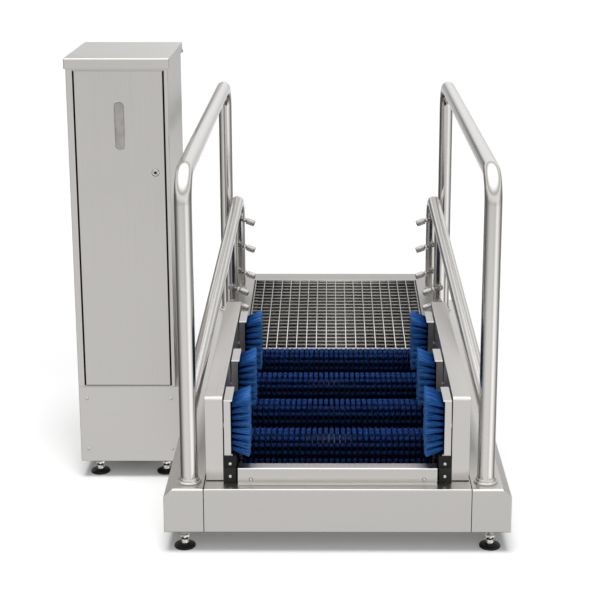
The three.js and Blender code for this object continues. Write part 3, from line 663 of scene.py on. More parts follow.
@dataclass(frozen=True)
class BrushedSteel:
    """Stainless steel with a brushed or satin surface.

    Attributes:
        name: The material's name.
        grain: Which way it is brushed.
        tone: Its brightness.
        rough: Its roughness.
        depth: The grain's depth in metres.
        contrast: How much the tone varies, as a share.
        grime: Whether it darkens where the piece's along value is low, as painted shade in recesses and below
            top edges.
        film: Whether it has painted shade along the covers' feet.
        slot: A slot's name; not used.
    """

    name: str
    grain: Grain
    tone: float = 0.56
    rough: float = 0.30
    depth: float = 0.00002
    contrast: float = 0.032
    grime: bool = False
    film: bool = False
    slot: str = "stainless"

    def build(self) -> bpy.types.Material:
        """Grain streaks in tone, roughness and relief, over a faint cloudiness.

        Returns:
            The material.
        """
        g = Graph(self.name)
        streak = g.noise(self.grain.value, 3.0, 0.6)
        cloud = g.noise(CLOUD_STRETCH, 2.0)
        mixed = g.maths("ADD", g.maths("MULTIPLY", streak, 1 - CLOUD_SHARE),
                        g.maths("MULTIPLY", cloud, CLOUD_SHARE))
        tones = [self.tone * (1 - self.contrast), self.tone * (1 + self.contrast)]
        warm = [tuple(tone * part for part in STEEL_TINT) for tone in tones]
        colour = g.ramp(mixed, list(zip((0.34, 0.66), warm)))
        # Painted shade: darker where the along value is low, in recesses and down between bars.
        if self.grime:
            greys = [(at, (grey,) * 3) for at, grey in GRIME_STOPS]
            colour = g.multiplied(colour, g.ramp(g.attribute("along"), greys))
        if self.film:
            colour = g.multiplied(colour, self.stain(g, mixed))
        g.links.new(colour, g.shader.inputs["Base Color"])
        g.links.new(g.ranged(mixed, self.rough - 0.03, self.rough + 0.04), g.shader.inputs["Roughness"])
        g.bump(streak, 0.3, self.depth)
        g.set(Metallic=1.0)
        return g.material

    @staticmethod
    def stain(g: Graph, mixed: bpy.types.NodeSocket) -> bpy.types.NodeSocket:
        """Painted shade along the covers' feet, where the beams' tops lie in the groove beside the
        covers: it fades out away from the centre line and towards the front.

        Args:
            g: The material's nodes.
            mixed: The grain and the clouds, which break the painted shade up a little.

        Returns:
            The factor by which the painted shade darkens the steel.
        """
        place = g.nodes.new("ShaderNodeSeparateXYZ")
        g.links.new(g.nodes.new("ShaderNodeTexCoord").outputs["Object"], place.inputs[0])
        centre = float(ORIGIN[0] / MILLIMETRES)
        away = g.maths("ABSOLUTE", g.maths("SUBTRACT", place.outputs[0], centre), 0.0)
        beside = g.ranged(away, 1.0, 0.0, *STAIN_ACROSS)
        behind = g.ranged(place.outputs[1], 0.0, 1.0, *STAIN_ALONG)
        depth = g.maths("MULTIPLY", g.maths("MULTIPLY", beside, behind), STAIN_DEPTH)
        return g.maths("SUBTRACT", g.ranged(mixed, 0.98, 1.02), depth)


@dataclass(frozen=True)
class BristleNylon:
    """Deep blue nylon, dark towards the roots as painted shade deep in the tufts, and paler at the tips.

    Attributes:
        name: The material's name.
        stops: Places along a strand and their colours.
        spread: How far a strand's colour may lie from its neighbour's, along the stops.
        slot: A slot's name; not used.
    """

    name: str
    stops: tuple[tuple[float, tuple[float, float, float]], ...]
    spread: float = 0.14
    slot: str = "bristles"

    def build(self) -> bpy.types.Material:
        """Painted shade along each strand from its attribute, varied a little from strand to strand.

        Returns:
            The material.
        """
        g = Graph(self.name)
        grain = g.noise((400.0, 400.0, 400.0), 1.0)
        varied = g.maths("ADD", g.attribute("along"),
                         g.ranged(g.attribute("shade"), -self.spread, self.spread, 0.0, 1.0))
        varied = g.maths("ADD", varied, g.ranged(grain, -0.05, 0.05))
        g.links.new(g.ramp(varied, self.stops), g.shader.inputs["Base Color"])
        g.links.new(g.ranged(grain, 0.38, 0.54), g.shader.inputs["Roughness"])
        g.set(Specular_IOR_Level=0.22)
        g.bump(grain, 0.2, 0.0001)
        return g.material


@dataclass(frozen=True)
class Moulded:
    """Moulded plastic or rubber with a fine pebble grain.

    Attributes:
        name: The material's name.
        colour: Its colour.
        rough: Its roughness.
        relief: The pebbles' height in metres.
        slot: A slot's name; not used.
        gloss: How much it mirrors.
    """

    name: str
    colour: tuple[float, float, float]
    rough: float = 0.5
    relief: float = 0.0001
    slot: str = "black_plastic"
    gloss: float = 0.5

    def build(self) -> bpy.types.Material:
        """Tone, gloss and relief from one fine noise and one coarse one.

        Returns:
            The material.
        """
        g = Graph(self.name)
        fine = g.noise((1100.0, 1100.0, 1100.0), 2.0)
        coarse = g.noise((30.0, 30.0, 30.0), 3.0)
        mixed = g.maths("ADD", g.maths("MULTIPLY", fine, 0.4), g.maths("MULTIPLY", coarse, 0.6))
        tone = g.ramp(mixed, [(0.3, tuple(part * 0.8 for part in self.colour)),
                              (0.7, tuple(min(1.0, part * 1.2) for part in self.colour))])
        g.links.new(tone, g.shader.inputs["Base Color"])
        g.links.new(g.ranged(coarse, self.rough - 0.08, self.rough + 0.08), g.shader.inputs["Roughness"])
        g.set(Specular_IOR_Level=self.gloss)
        g.bump(fine, 0.3, self.relief)
        return g.material


SHEET_X = BrushedSteel("sheet_grain_across", Grain.ALONG_X, tone=0.58)
# The beams' tops carry painted shade along the covers' feet.
BEAM_SHEET = BrushedSteel("beam_grain_along", Grain.ALONG_Y, tone=0.58, film=True)
DECK_SHEET = BrushedSteel("deck_grain_across", Grain.ALONG_X, tone=0.41)
SHEET_Z = BrushedSteel("sheet_grain_upright", Grain.ALONG_Z, tone=0.58)
DOOR_SHEET = BrushedSteel("door_grain_upright", Grain.ALONG_Z, tone=0.56)
COVER_SHEET = BrushedSteel("cover_grain_along", Grain.ALONG_Y, tone=0.62)
TUBE = BrushedSteel("tube_satin", Grain.SATIN, tone=0.61, rough=0.17, depth=0.000004, contrast=0.02)
FITTING = BrushedSteel("turned_fittings", Grain.SATIN, tone=0.60, rough=0.15, depth=0.00001, contrast=0.05)
# The nozzles carry painted shade in their recesses through the along value.
CHROME = BrushedSteel("nozzle_chrome", Grain.SATIN, tone=0.37, rough=0.09, depth=0.00001, contrast=0.08,
                      grime=True)
WELD = BrushedSteel("weld_beads", Grain.SATIN, tone=0.50, rough=0.34, depth=0.0002, contrast=0.12)
# The grating carries painted shade that deepens below its bars' top edges.
GRATING_STEEL = BrushedSteel("grating_pickled", Grain.SATIN, tone=0.50, rough=0.36, depth=0.0001,
                             contrast=0.1, grime=True, slot="grating_steel")
DRIVE_STEEL = BrushedSteel("drive_steel", Grain.SATIN, tone=0.36, rough=0.34, depth=0.00005,
                           contrast=0.15, slot="drive_steel")
# Painted shade: the rollers' strands stay nearly black for most of their length and turn blue only near the
# tips, as if lit only there.
ROLLER_NYLON = BristleNylon("roller_nylon", (
    (0.0, (0.0001, 0.0006, 0.005)), (0.72, (0.0003, 0.0016, 0.014)), (0.88, (0.0010, 0.010, 0.065)),
    (1.0, (0.0058, 0.050, 0.215))), 0.12)
# Painted shade: the side brushes' strands are dark at the roots, and the inner tufts stay dark for most of
# their length.
SIDE_NYLON = BristleNylon("side_nylon", (
    (0.0, (0.0004, 0.0020, 0.012)), (0.26, (0.0065, 0.060, 0.24)), (0.7, (0.014, 0.095, 0.34)),
    (0.9, (0.035, 0.16, 0.48)), (1.0, (0.065, 0.22, 0.58))), 0.2)
NAVY = Moulded("sleeve_navy", (0.0006, 0.0012, 0.005), 0.7, gloss=0.08)
BLACK = Moulded("black_moulded", (0.009, 0.009, 0.010), 0.5, gloss=0.22)
BLOCK_GREY = Moulded("bearing_cap_grey", (0.016, 0.016, 0.0155), 0.5, 0.0003, gloss=0.22)
RUBBER = Moulded("foot_rubber", (0.006, 0.006, 0.006), 0.45, gloss=0.25)
ENAMEL = Moulded("motor_enamel", (0.045, 0.13, 0.23), 0.38, 0.00006, "motor_paint")
POLYMER = Moulded("canister_polymer", (0.62, 0.62, 0.56), 0.5, 0.00008, "canister_plastic")
FROSTED = Moulded("window_frosted", (0.41, 0.395, 0.38), 0.32, 0.00003, "window_plastic")
SHADOWED = Moulded("dark_recess", (0.003, 0.003, 0.003), 0.9, gloss=0.05)

Finish = BrushedSteel | BristleNylon | Moulded


class Workshop:
    """Keeps each finish's material once, and coats, mounts and reports the pieces."""

    merge_reach = 1e-5
    flat_angle = math.radians(0.5)
    sharp_bend = math.radians(32)
    box_reach = 0.06

    def __init__(self, nodes: dict[str, bpy.types.Object]) -> None:
        """Starts with no materials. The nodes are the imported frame's, by name."""
        self.nodes = nodes
        self.materials: dict[str, bpy.types.Material] = {}
        self.pieces = 0

    def coat(self, piece: bpy.types.Object, finish: Finish) -> None:
        """Puts a finish's one material in place of a piece's own.

        Args:
            piece: The object.
            finish: Its finish.
        """
        if finish.name not in self.materials:
            self.materials[finish.name] = finish.build()
        piece.data.materials.clear()
        piece.data.materials.append(self.materials[finish.name])

    def place(self, name: str, surface: Surface, finish: Finish, body: str = Body.FRAME.value,
              stands_for: Sequence[str] = (), smooth: Optional[float] = 40, weld: bool = True) -> None:
        """Makes a new piece, coats it and mounts it on its body.

        Args:
            name: The piece's name.
            surface: Its shape.
            finish: Its finish.
            body: The body that it rides on.
            stands_for: CAD nodes that it replaces.
            smooth: Edges up to this angle in degrees are shaded round, or None for flat faces.
            weld: As in Surface.mesh.
        """
        piece = surface.mesh(name, weld)
        self.coat(piece, finish)
        if smooth is not None:
            piece.data.shade_smooth()
            piece.data.set_sharp_from_angle(angle=math.radians(smooth))
        self.mount(piece, body, stands_for)

    def mount(self, piece: bpy.types.Object, body: str, stands_for: Sequence[str]) -> None:
        """Ties a piece to its body and the nodes that it stands for, and reports it.

        Args:
            piece: The object.
            body: The body that it rides on.
            stands_for: CAD nodes that it replaces.
        """
        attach(piece, body)
        if stands_for:
            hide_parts(*stands_for)
        self.pieces += 1
        log.info("%s on %s, %d faces", piece.name, body, len(piece.data.polygons))

    def keep(self, node: str, finish: Finish) -> None:
        """Gives a CAD node whose shape is right a better material.

        Args:
            node: The node's name.
            finish: Its finish.
        """
        self.coat(self.nodes[node], finish)
        log.info("%s kept", node)

    def folded(self, node: str, finish: Finish, edge: float, body: str = Body.FRAME.value,
               fold: float = 0.0, lines: Sequence[tuple[float, float]] = (),
               corners: bool = False, joints: float = 0.0, opening: bool = False) -> None:
        """Replaces a folded sheet node by a merged copy with its edges rounded.

        Cut edges get a small radius. Folds get a larger one: edges along u at given places,
        and the box's upright corners.

        Args:
            node: The CAD node.
            finish: The copy's finish.
            edge: The cut edges' width in millimetres.
            body: The body that it rides on.
            fold: The folds' width.
            lines: Places v and z of the folds along u.
            corners: Whether the upright corners are folds.
            joints: The width of the edges that meet a neighbouring sheet at the sides, if rounder.
            opening: Whether faces round an opening are cut into convex ones, which keeps it free.
        """
        data = self.nodes[node].data.copy()
        bends = self.merged(data, opening)
        wide = max(fold, edge)
        weights = np.full(len(data.edges), edge / wide, np.float32)
        if joints:
            weights[self.joint_edges(data)] = joints / wide
        weights[self.folds(data, lines, corners)] = 1.0
        weights[bends < self.sharp_bend] = 0.0
        data.attributes.new("bevel_weight_edge", "FLOAT", "EDGE").data.foreach_set("value", weights)
        piece = bpy.data.objects.new(f"{node}_finished", data)
        bpy.context.scene.collection.objects.link(piece)
        self.coat(piece, finish)
        piece.data.shade_smooth()
        rounding = piece.modifiers.new("edges", "BEVEL")
        rounding.width = wide / MILLIMETRES
        rounding.segments = 4 if fold else 2
        rounding.limit_method = "WEIGHT"
        rounding.use_clamp_overlap = False
        level = piece.modifiers.new("flat faces", "WEIGHTED_NORMAL")
        level.mode = "FACE_AREA"
        level.weight = 100
        self.mount(piece, body, [node])

    @classmethod
    def merged(cls, data: bpy.types.Mesh, opening: bool) -> np.ndarray:
        """Merges a node's loose triangles into flat faces.

        Args:
            data: The mesh, which is changed.
            opening: As in folded.

        Returns:
            The angle between the faces at every edge, nothing where there aren't two.
        """
        clean = bmesh.new()
        clean.from_mesh(data)
        bmesh.ops.remove_doubles(clean, verts=clean.verts, dist=cls.merge_reach)
        bmesh.ops.dissolve_limit(clean, angle_limit=cls.flat_angle, verts=clean.verts, edges=clean.edges)
        if opening:
            bmesh.ops.connect_verts_concave(clean, faces=clean.faces)
        bends = np.array([e.calc_face_angle(0.0) if e.is_manifold else 0.0 for e in clean.edges])
        clean.to_mesh(data)
        clean.free()
        return bends

    @staticmethod
    def edge_ends(data: bpy.types.Mesh) -> tuple[np.ndarray, np.ndarray, np.ndarray]:
        """A mesh's points in millimetres, and the numbers of every edge's two ends.

        Args:
            data: The mesh.

        Returns:
            The points, the first ends and the second ends.
        """
        points = np.empty(len(data.vertices) * 3, np.float32)
        data.vertices.foreach_get("co", points)
        ends = np.empty(len(data.edges) * 2, np.int32)
        data.edges.foreach_get("vertices", ends)
        return points.reshape(-1, 3) * MILLIMETRES - ORIGIN, ends[0::2], ends[1::2]

    @classmethod
    def joint_edges(cls, data: bpy.types.Mesh) -> np.ndarray:
        """Which edges lie on a side face of the mesh's box and on its top or front face.

        Args:
            data: The mesh.

        Returns:
            True or false for every edge.
        """
        points, a, b = cls.edge_ends(data)
        low, high = (np.abs(points - face) < cls.box_reach for face in (points.min(0), points.max(0)))
        side, top, front = low[:, 0] | high[:, 0], high[:, 2], low[:, 1]
        return side[a] & side[b] & ((top[a] & top[b]) | (front[a] & front[b]))

    @classmethod
    def folds(cls, data: bpy.types.Mesh, lines: Sequence[tuple[float, float]], corners: bool) -> np.ndarray:
        """Which edges are folds: both ends lie on a given line along u, or on two upright faces
        of the mesh's box.

        Args:
            data: The mesh.
            lines: Places v and z of the lines.
            corners: Whether the upright corners count.

        Returns:
            True or false for every edge.
        """
        points, a, b = cls.edge_ends(data)
        found = np.zeros(len(data.edges), bool)
        for v, z in lines:
            on = (np.abs(points[:, 1] - v) < cls.box_reach) & (np.abs(points[:, 2] - z) < cls.box_reach)
            found |= on[a] & on[b]
        if corners:
            low, high = points.min(0), points.max(0)
            away = np.concatenate([np.abs(points - face)[:, :2] for face in (low, high)], 1)
            on = away < cls.box_reach
            found |= (on[a] & on[b]).sum(1) >= 2
        return found


SCREW_SHARES = ((0, 0), (1, 0), (1, 0.35), (0.93, 0.75), (0.75, 1), (0.42, 1), (0.42, 0.35), (0, 0.35))
WELD_SHARES = ((-1, 0), (0, 0), (0.8, 0.25), (0.75, 0.8), (0.2, 1.3), (-1, 1.4))


def facing_front(surface: Surface, u: float, v: float, z: float) -> Surface:
    """A turned shape laid down so that its top faces the front, with its foot at v."""
    return surface.turned("X", math.pi / 2).moved(u, v, z)


def screw_heads(spots: Iterable[tuple[float, float, float]], radius: float, height: float) -> Surface:
    """Pan heads with hexagon sockets that face the front.

    Args:
        spots: Where their seats are.
        radius: Their radius.
        height: Their height.

    Returns:
        All the heads.
    """
    head = lathed([(radius * out, height * up) for out, up in SCREW_SHARES], 24, hexagon([5, 6]))
    return Surface.joined([facing_front(head, *spot) for spot in spots])


def washer(radius: float, thick: float = 0.35) -> Surface:
    """A thin flat ring under a head, which its callers make dark as painted shadow round it."""
    return lathed([(0, 0), (radius, 0), (radius, thick), (0, thick)], 24)


def weld_ring(radius: float, bead: float, sides: int = 72) -> Surface:
    """A weld bead round a tube: a half-round profile on a circle, scalloped along its length.

    Args:
        radius: The tube's radius.
        bead: The bead's size.
        sides: Points round it.

    Returns:
        The bead.
    """
    profile = [(radius + bead * out, bead * up) for out, up in WELD_SHARES]
    return lathed(profile, sides, fluted([2, 3], 24, 0.035))


def bead_on(loop: np.ndarray, radius: float = 1.9, ripple: float = 0.12, sides: int = 10) -> Surface:
    """A round bead along a closed loop, its radius rippling by a cosine along it.

    A point of the bead is the loop's point, plus the radius times the cosine of its turn along
    the way out from the loop's middle, plus the radius times the sine along the third direction.

    Args:
        loop: The loop's points.
        radius: The bead's radius.
        ripple: How far the radius rises and falls, as a share.
        sides: Points round the bead.

    Returns:
        The bead.
    """
    ahead = np.roll(loop, -1, axis=0) - np.roll(loop, 1, axis=0)
    ahead /= np.linalg.norm(ahead, axis=1, keepdims=True)
    out = loop - loop.mean(0)
    out -= ahead * np.sum(out * ahead, axis=1, keepdims=True)
    out /= np.linalg.norm(out, axis=1, keepdims=True)
    third = np.cross(ahead, out)
    size = radius * (1 + ripple * np.cos(np.arange(len(loop)) * np.pi * 2 / 3))
    turn = np.arange(sides) * 2 * np.pi / sides
    grid = (loop[:, None] + size[:, None, None]
            * (np.cos(turn)[None, :, None] * out[:, None] + np.sin(turn)[None, :, None] * third[:, None]))
    return skin(np.concatenate([grid, grid[:1]]), capped=False)


# Sub-assemblies


@dataclass
class Base:
    """The base: tray, side beams, front lip, and its feet."""

    shop: Workshop
    top: float = 191.0
    body_half: float = 370.0
    cut: float = 0.8
    fold: float = 8.0
    joint: float = 2.2
    lip_front: float = 35.0
    lip_top: float = 238.0
    lip_fold: float = 4.5
    screw_half: float = 240.0
    screw_z: float = 205.0
    screw_radius: float = 4.6
    screw_height: float = 2.2
    washer_radius: float = 5.6
    foot_places: tuple[float, ...] = (45.0, 1727.0)
    foot_half: float = 427.5
    foot_top: float = 63.0
    seam: float = 0.4
    seam_width: float = 2.4
    seam_run: tuple[float, float] = (0.35, 1771.1)
    seam_sink: float = 0.35
    seam_lift: float = 1.0
    seam_edge: float = 0.2

    def build(self) -> None:
        """Makes the folded sheets and the feet."""
        edge = [(0, self.top)]
        self.shop.folded("base_tray", SHEET_X, self.cut, fold=self.fold, lines=edge, joints=self.joint)
        for label in SIDES:
            self.shop.folded(f"side_beam_{label}", BEAM_SHEET, self.cut, fold=self.fold, lines=edge,
                             joints=self.joint)
        self.shop.folded("front_lip", SHEET_X, self.cut, fold=self.lip_fold,
                         lines=[(self.lip_front, self.lip_top)])
        spots = [(side * self.screw_half, self.lip_front, self.screw_z) for side in SIDES.values()]
        self.shop.place("lip_screws", screw_heads(spots, self.screw_radius, self.screw_height), FITTING)
        # Painted shadow: dark rings round the screws' heads.
        seals = [facing_front(washer(self.washer_radius), *spot) for spot in spots]
        self.shop.place("lip_shadow_rings", Surface.joined(seals), SHADOWED)
        self.seams()
        for label, side in SIDES.items():
            for row, v in enumerate(self.foot_places, 1):
                foot = LevellingFoot(self.shop, side * self.foot_half, v, self.foot_top)
                foot.build(f"base_foot_{label}_{row}")

    def seams(self) -> None:
        """Makes painted seam shadows between the tray and the side beams, a little below the sheets."""
        width = self.seam_width / 2
        middles = [side * (self.body_half - self.seam / 2) for side in SIDES.values()]
        height = [self.foot_top + self.seam_lift, self.top - self.seam_sink]
        strips = [block([middle - width, middle + width], self.seam_run, height, self.seam_edge)
                  for middle in middles]
        self.shop.place("base_seam_shadows", Surface.joined(strips), SHADOWED)


@dataclass
class LevellingFoot:
    """A rubber disc on a threaded spindle with a hub, a lock nut and a nut under a welded plate."""

    shop: Workshop
    u: float
    v: float
    top: float
    disc: Profile = ((0, 0), (28.5, 0), (30.0, 1.2), (30.0, 4.6), (29.0, 6.2), (25.0, 7.6), (22.0, 8.6),
                     (14.0, 9.0), (12.5, 11.6), (10.5, 12.0), (0, 12.0))
    hub: Profile = ((0, 11.4), (11.6, 11.4), (11.9, 13.5), (11.2, 19.5), (9.4, 23.0), (0, 23.0))
    # A narrow ring between the hub and the lock nut, made dark as painted shade of the groove there.
    seal: Profile = ((0, 23.0), (9.2, 23.0), (9.6, 24.0), (9.6, 27.4), (9.0, 28.4), (0, 28.4))
    lock_nut: Profile = ((0, 28.4), (11.0, 28.4), (11.6, 29.4), (11.6, 36.0), (11.0, 37.0), (0, 37.0))
    spindle_radius: float = 7.0
    spindle_bottom: float = 11.0
    spindle_gap: float = 9.0
    thread_pitch: float = 2.0
    thread_depth: float = 0.35
    nut_radius: float = 11.3
    nut_height: float = 10.0
    nut_round: float = 1.2
    nut_round_share: float = 0.94
    plate: float = 40.0
    plate_thick: float = 5.0

    def build(self, node: str) -> None:
        """Makes the disc, which replaces the node, and the metal pieces above it.

        Args:
            node: The CAD node that the foot stands for.
        """
        disc = lathed(self.disc, 56, fluted([2, 3], 28, 0.03))
        hub = Surface.joined([lathed(self.hub, 40), lathed(self.lock_nut, 36, hexagon([2, 3]))])
        plate_top = self.top - SEAT
        plate_bottom = plate_top - self.plate_thick
        self.part(f"{node}_disc", disc, RUBBER, [node])
        self.part(f"{node}_spindle", self.spindle(plate_bottom - self.spindle_gap), FITTING)
        self.part(f"{node}_hub", hub, FITTING)
        # Painted shade: the groove between hub and lock nut is a dark ring.
        self.part(f"{node}_seal", lathed(self.seal, 36), SHADOWED)
        r, h, share = self.nut_radius, self.nut_height, self.nut_round_share
        nut = lathed([(0, 0), (r * share, 0), (r, self.nut_round), (r, h - self.nut_round),
                      (r * share, h), (0, h)], 36, hexagon([2, 3]))
        half = self.plate / 2
        plate = block([self.u - half, self.u + half], [self.v - half, self.v + half],
                      [plate_bottom, plate_top])
        pair = Surface.joined([nut.moved(self.u, self.v, plate_bottom - h), plate])
        self.shop.place(f"{node}_nut", pair, FITTING)

    def part(self, name: str, surface: Surface, finish: Finish, stands_for: Sequence[str] = ()) -> None:
        """Places a part of the foot on its axis.

        Args:
            name: The piece's name.
            surface: Its shape, about the upright axis.
            finish: Its finish.
            stands_for: CAD nodes that it replaces.
        """
        self.shop.place(name, surface.moved(self.u, self.v), finish, stands_for=stands_for)

    def spindle(self, top: float) -> Surface:
        """The spindle: its radius rises and falls with the height once for each thread.

        Args:
            top: Its upper end.

        Returns:
            The spindle about the upright axis.
        """
        bottom = self.spindle_bottom
        count = int((top - bottom) / self.thread_pitch * 2)
        heights = np.linspace(bottom, top, count)
        wave = np.where(np.arange(count) % 2 == 0, -1, 1)
        radii = self.spindle_radius - self.thread_depth + self.thread_depth * wave
        return lathed([(0, bottom), *zip(radii, heights), (0, top)], 28)


@dataclass
class Roller:
    """A sole brush roller: a sleeve with tufts set all round it."""

    shop: Workshop
    number: int
    first: float = 187.0
    pitch: float = 233.3
    height: float = 215.0
    radius: float = 74.6
    core: float = 32.0
    core_edge: float = 2.0
    half: float = 270.0
    bore: float = 12.7
    tufts_along: int = 33
    rows_round: int = 20
    strands_each: int = 26
    strand_root: float = 0.95
    strand_tip: float = 0.8
    strand_sunk: float = 1.0
    tuft_root: float = 4.0
    tuft_tip: float = 5.5
    wear: float = 1.6
    crown: float = 1.4
    end_gap: float = 0.6
    heart_share: float = 0.10
    spread_shares: tuple[float, float] = (0.9, 1.07)
    tuft_turns: tuple[float, float] = (1.7, 2.3)
    first_seed: int = 70

    def build(self) -> None:
        """Makes the sleeve and the tufts, and gives the shaft its steel."""
        random = np.random.default_rng(self.first_seed + self.number)
        v = self.first + self.pitch * (self.number - 1)
        body = f"roller_{self.number}"
        node = f"sole_brush_{self.number}"
        bristles = self.tufts(random).moved(v=v, z=self.height)
        self.shop.place(f"{node}_bristles", bristles, ROLLER_NYLON, body, [node], smooth=None, weld=False)
        self.shop.place(f"{node}_sleeve", self.sleeve().moved(v=v, z=self.height), NAVY, body)
        self.shop.keep(f"brush_shaft_{self.number}", DRIVE_STEEL)

    def sleeve(self) -> Surface:
        """The sleeve: a section that closes on itself, turned and laid along u.

        Returns:
            The sleeve about the u axis.
        """
        h, edge = self.half, self.core_edge
        section = [(self.bore, -h), (self.core - edge, -h), (self.core, -h + edge), (self.core, h - edge),
                   (self.core - edge, h), (self.bore, h), (self.bore, -h)]
        return tubular(section, 48).turned("Y", math.pi / 2)

    def tufts(self, random: np.random.Generator) -> Surface:
        """All the tufts: strand k of a tuft leaves the sleeve near the tuft's middle and ends
        further out from it, at a sunflower seed's place: distance with the square root of k, and
        angle by the golden angle times k. Its length is the roller's radius less a random wear
        and less the crown times the distance to the fourth power.

        Args:
            random: Spreads lengths and places a little.

        Returns:
            The strands about the u axis.
        """
        pitch = 2 * self.half / self.tufts_along
        column, row, k = np.meshgrid(np.arange(self.tufts_along), np.arange(self.rows_round),
                                     np.arange(self.strands_each), indexing="ij")
        column, row, k = column.ravel(), row.ravel(), k.ravel()
        u0 = (column + 0.5) * pitch - self.half
        turn0 = (row + 0.5) * 2 * np.pi / self.rows_round
        reach = np.sqrt(self.heart_share + (1 - self.heart_share) * (k + 0.5) / self.strands_each)
        seed = k * GOLDEN_ANGLE + column * self.tuft_turns[0] + row * self.tuft_turns[1]
        du, dt = reach * np.cos(seed), reach * np.sin(seed)
        length = self.radius - random.uniform(0, self.wear, len(k)) - self.crown * reach ** 4
        spread = self.tuft_tip * random.uniform(*self.spread_shares, len(k))
        limit = self.half - self.end_gap
        root_u = np.clip(u0 + du * self.tuft_root, -limit, limit)
        tip_u = np.clip(u0 + du * spread, -limit, limit)
        root_t = turn0 + dt * self.tuft_root / self.core
        tip_t = turn0 + dt * spread / self.radius
        inner = self.core - self.strand_sunk
        roots = np.stack([root_u, inner * np.sin(root_t), inner * np.cos(root_t)], -1)
        tips = np.stack([tip_u, length * np.sin(tip_t), length * np.cos(tip_t)], -1)
        return strands(roots, tips, self.strand_root, self.strand_tip, random)


@dataclass
class SideBrushes:
    """Three upright brushes on one side, each in its folded holder."""

    shop: Workshop
    label: str
    side: int
    fronts: tuple[float, ...] = (52.0, 378.2, 752.0)
    depth: float = 110.0
    holder_face: float = 295.0
    holder_top: float = 430.0
    holder_cut: float = 0.5
    holder_fold: float = 2.4
    backing: float = 2.5
    backing_gap: float = 3.2
    backing_end: float = 0.2
    backing_edge: float = 1.2
    strand_sunk: float = 0.6
    tip_gap: float = 3.6
    tip: float = 241.4
    root_low: float = 277.6
    root_high: float = 421.0
    tip_low: float = 260.6
    tip_high: float = 437.4
    rows: int = 8
    columns: int = 8
    strands_each: int = 36
    strand_root: float = 0.95
    strand_tip: float = 0.75
    strand_gap: float = 3.3
    root_v: float = 3.5
    root_z: float = 4.6
    tip_v_share: float = 0.62
    tip_z_share: float = 0.49
    wear: float = 3.0
    dome: float = 2.0
    roller_reach: float = 78.4
    roller_gap: float = 3.4
    steps: int = 20
    shortest_share: float = 0.12
    outer_shade: float = 0.3
    inner_shade: float = -2.4
    tuft_turns: tuple[float, float] = (1.1, 2.1)

    def build(self) -> None:
        """Makes the holders, backings and bristles."""
        face = self.holder_face - SEAT
        for number, front in enumerate(self.fronts, 1):
            self.shop.folded(f"brush_holder_{self.label}_{number}", COVER_SHEET, self.holder_cut,
                             fold=self.holder_fold, lines=[(front, self.holder_top)])
            node = f"side_brush_{self.label}_{number}"
            random = np.random.default_rng(10 * number + self.side)
            bristles = self.bristles(front, random).on_side(self.side)
            self.shop.place(f"{node}_bristles", bristles, SIDE_NYLON, stands_for=[node], smooth=None,
                            weld=False)
            back = block([face - self.backing, face],
                         [front + self.backing_gap, front + self.depth - self.backing_gap],
                         [self.root_low + self.backing_end, self.root_high - self.backing_end],
                         self.backing_edge)
            self.shop.place(f"{node}_backing", back.on_side(self.side), NAVY)

    def bristles(self, front: float, random: np.random.Generator) -> Surface:
        """The bristles of one brush: rows of tufts that fan out from the backing.

        A strand's tip lies at the tip plane, at its tuft's place stretched from the backing's
        height to the tips' height, plus the tuft's flare. The outer tufts start pale at the roots;
        the inner ones start far down the colour ramp, as painted shade deep inside the brush.

        Args:
            front: Where the brush starts.
            random: Spreads places and lengths a little.

        Returns:
            The strands of the right side's brush.
        """
        row, column, k = np.meshgrid(np.arange(self.rows), np.arange(self.columns),
                                     np.arange(self.strands_each), indexing="ij")
        row, column, k = row.ravel(), column.ravel(), k.ravel()
        reach = np.sqrt((k + 0.5) / self.strands_each)
        seed = k * GOLDEN_ANGLE + row * self.tuft_turns[0] + column * self.tuft_turns[1]
        dv, dz = reach * np.cos(seed), reach * np.sin(seed)
        share_z, share_v = (row + 0.5) / self.rows, (column + 0.5) / self.columns
        run = self.depth - 2 * self.strand_gap
        pitch_v = run / self.columns
        pitch_z = (self.tip_high - self.tip_low) / self.rows
        middle_v = front + self.strand_gap + run * share_v
        root_z = self.root_low + (self.root_high - self.root_low) * share_z + dz * self.root_z
        tip_z = self.tip_low + (self.tip_high - self.tip_low) * share_z + dz * pitch_z * self.tip_z_share
        tip_v = np.clip(middle_v + dv * pitch_v * self.tip_v_share,
                        front + self.tip_gap, front + self.depth - self.tip_gap)
        root_u = np.full(len(k), self.holder_face - SEAT - self.backing + self.strand_sunk)
        tip_u = self.tip + random.uniform(0, self.wear, len(k)) + self.dome * reach ** 2
        roots = np.stack([root_u, middle_v + dv * self.root_v, root_z], -1)
        tips = np.stack([tip_u, tip_v, tip_z], -1)
        share = self.free_share(roots, tips)
        keep = share > self.shortest_share
        tips = roots + (tips - roots) * share[:, None]
        # Painted shade: inner tufts start darker than outer ones.
        outer = (column == 0) | (column == self.columns - 1) | (row == 0) | (row == self.rows - 1)
        start = np.where(outer, self.outer_shade, self.inner_shade)
        return strands(roots[keep], tips[keep], self.strand_root, self.strand_tip, random, start[keep])

    def free_share(self, roots: np.ndarray, tips: np.ndarray) -> np.ndarray:
        """How much of each strand stays clear of the rollers: the share just before the first of
        some places along it that is inside a roller's reach.

        Args:
            roots: Root places.
            tips: Tip places.

        Returns:
            The shares, 1 for a whole strand.
        """
        t = np.linspace(0, 1, self.steps + 1)[1:]
        path = roots[:, None] + (tips - roots)[:, None] * t[None, :, None]
        rollers = Roller.first + Roller.pitch * np.arange(4)
        distance = np.hypot(path[..., 1, None] - rollers, path[..., 2, None] - Roller.height).min(-1)
        inside = (distance < self.roller_reach) & (path[..., 0] < Roller.half + self.roller_gap)
        first = np.where(inside.any(1), inside.argmax(1), self.steps)
        return np.where(first < self.steps, first / self.steps, 1.0)


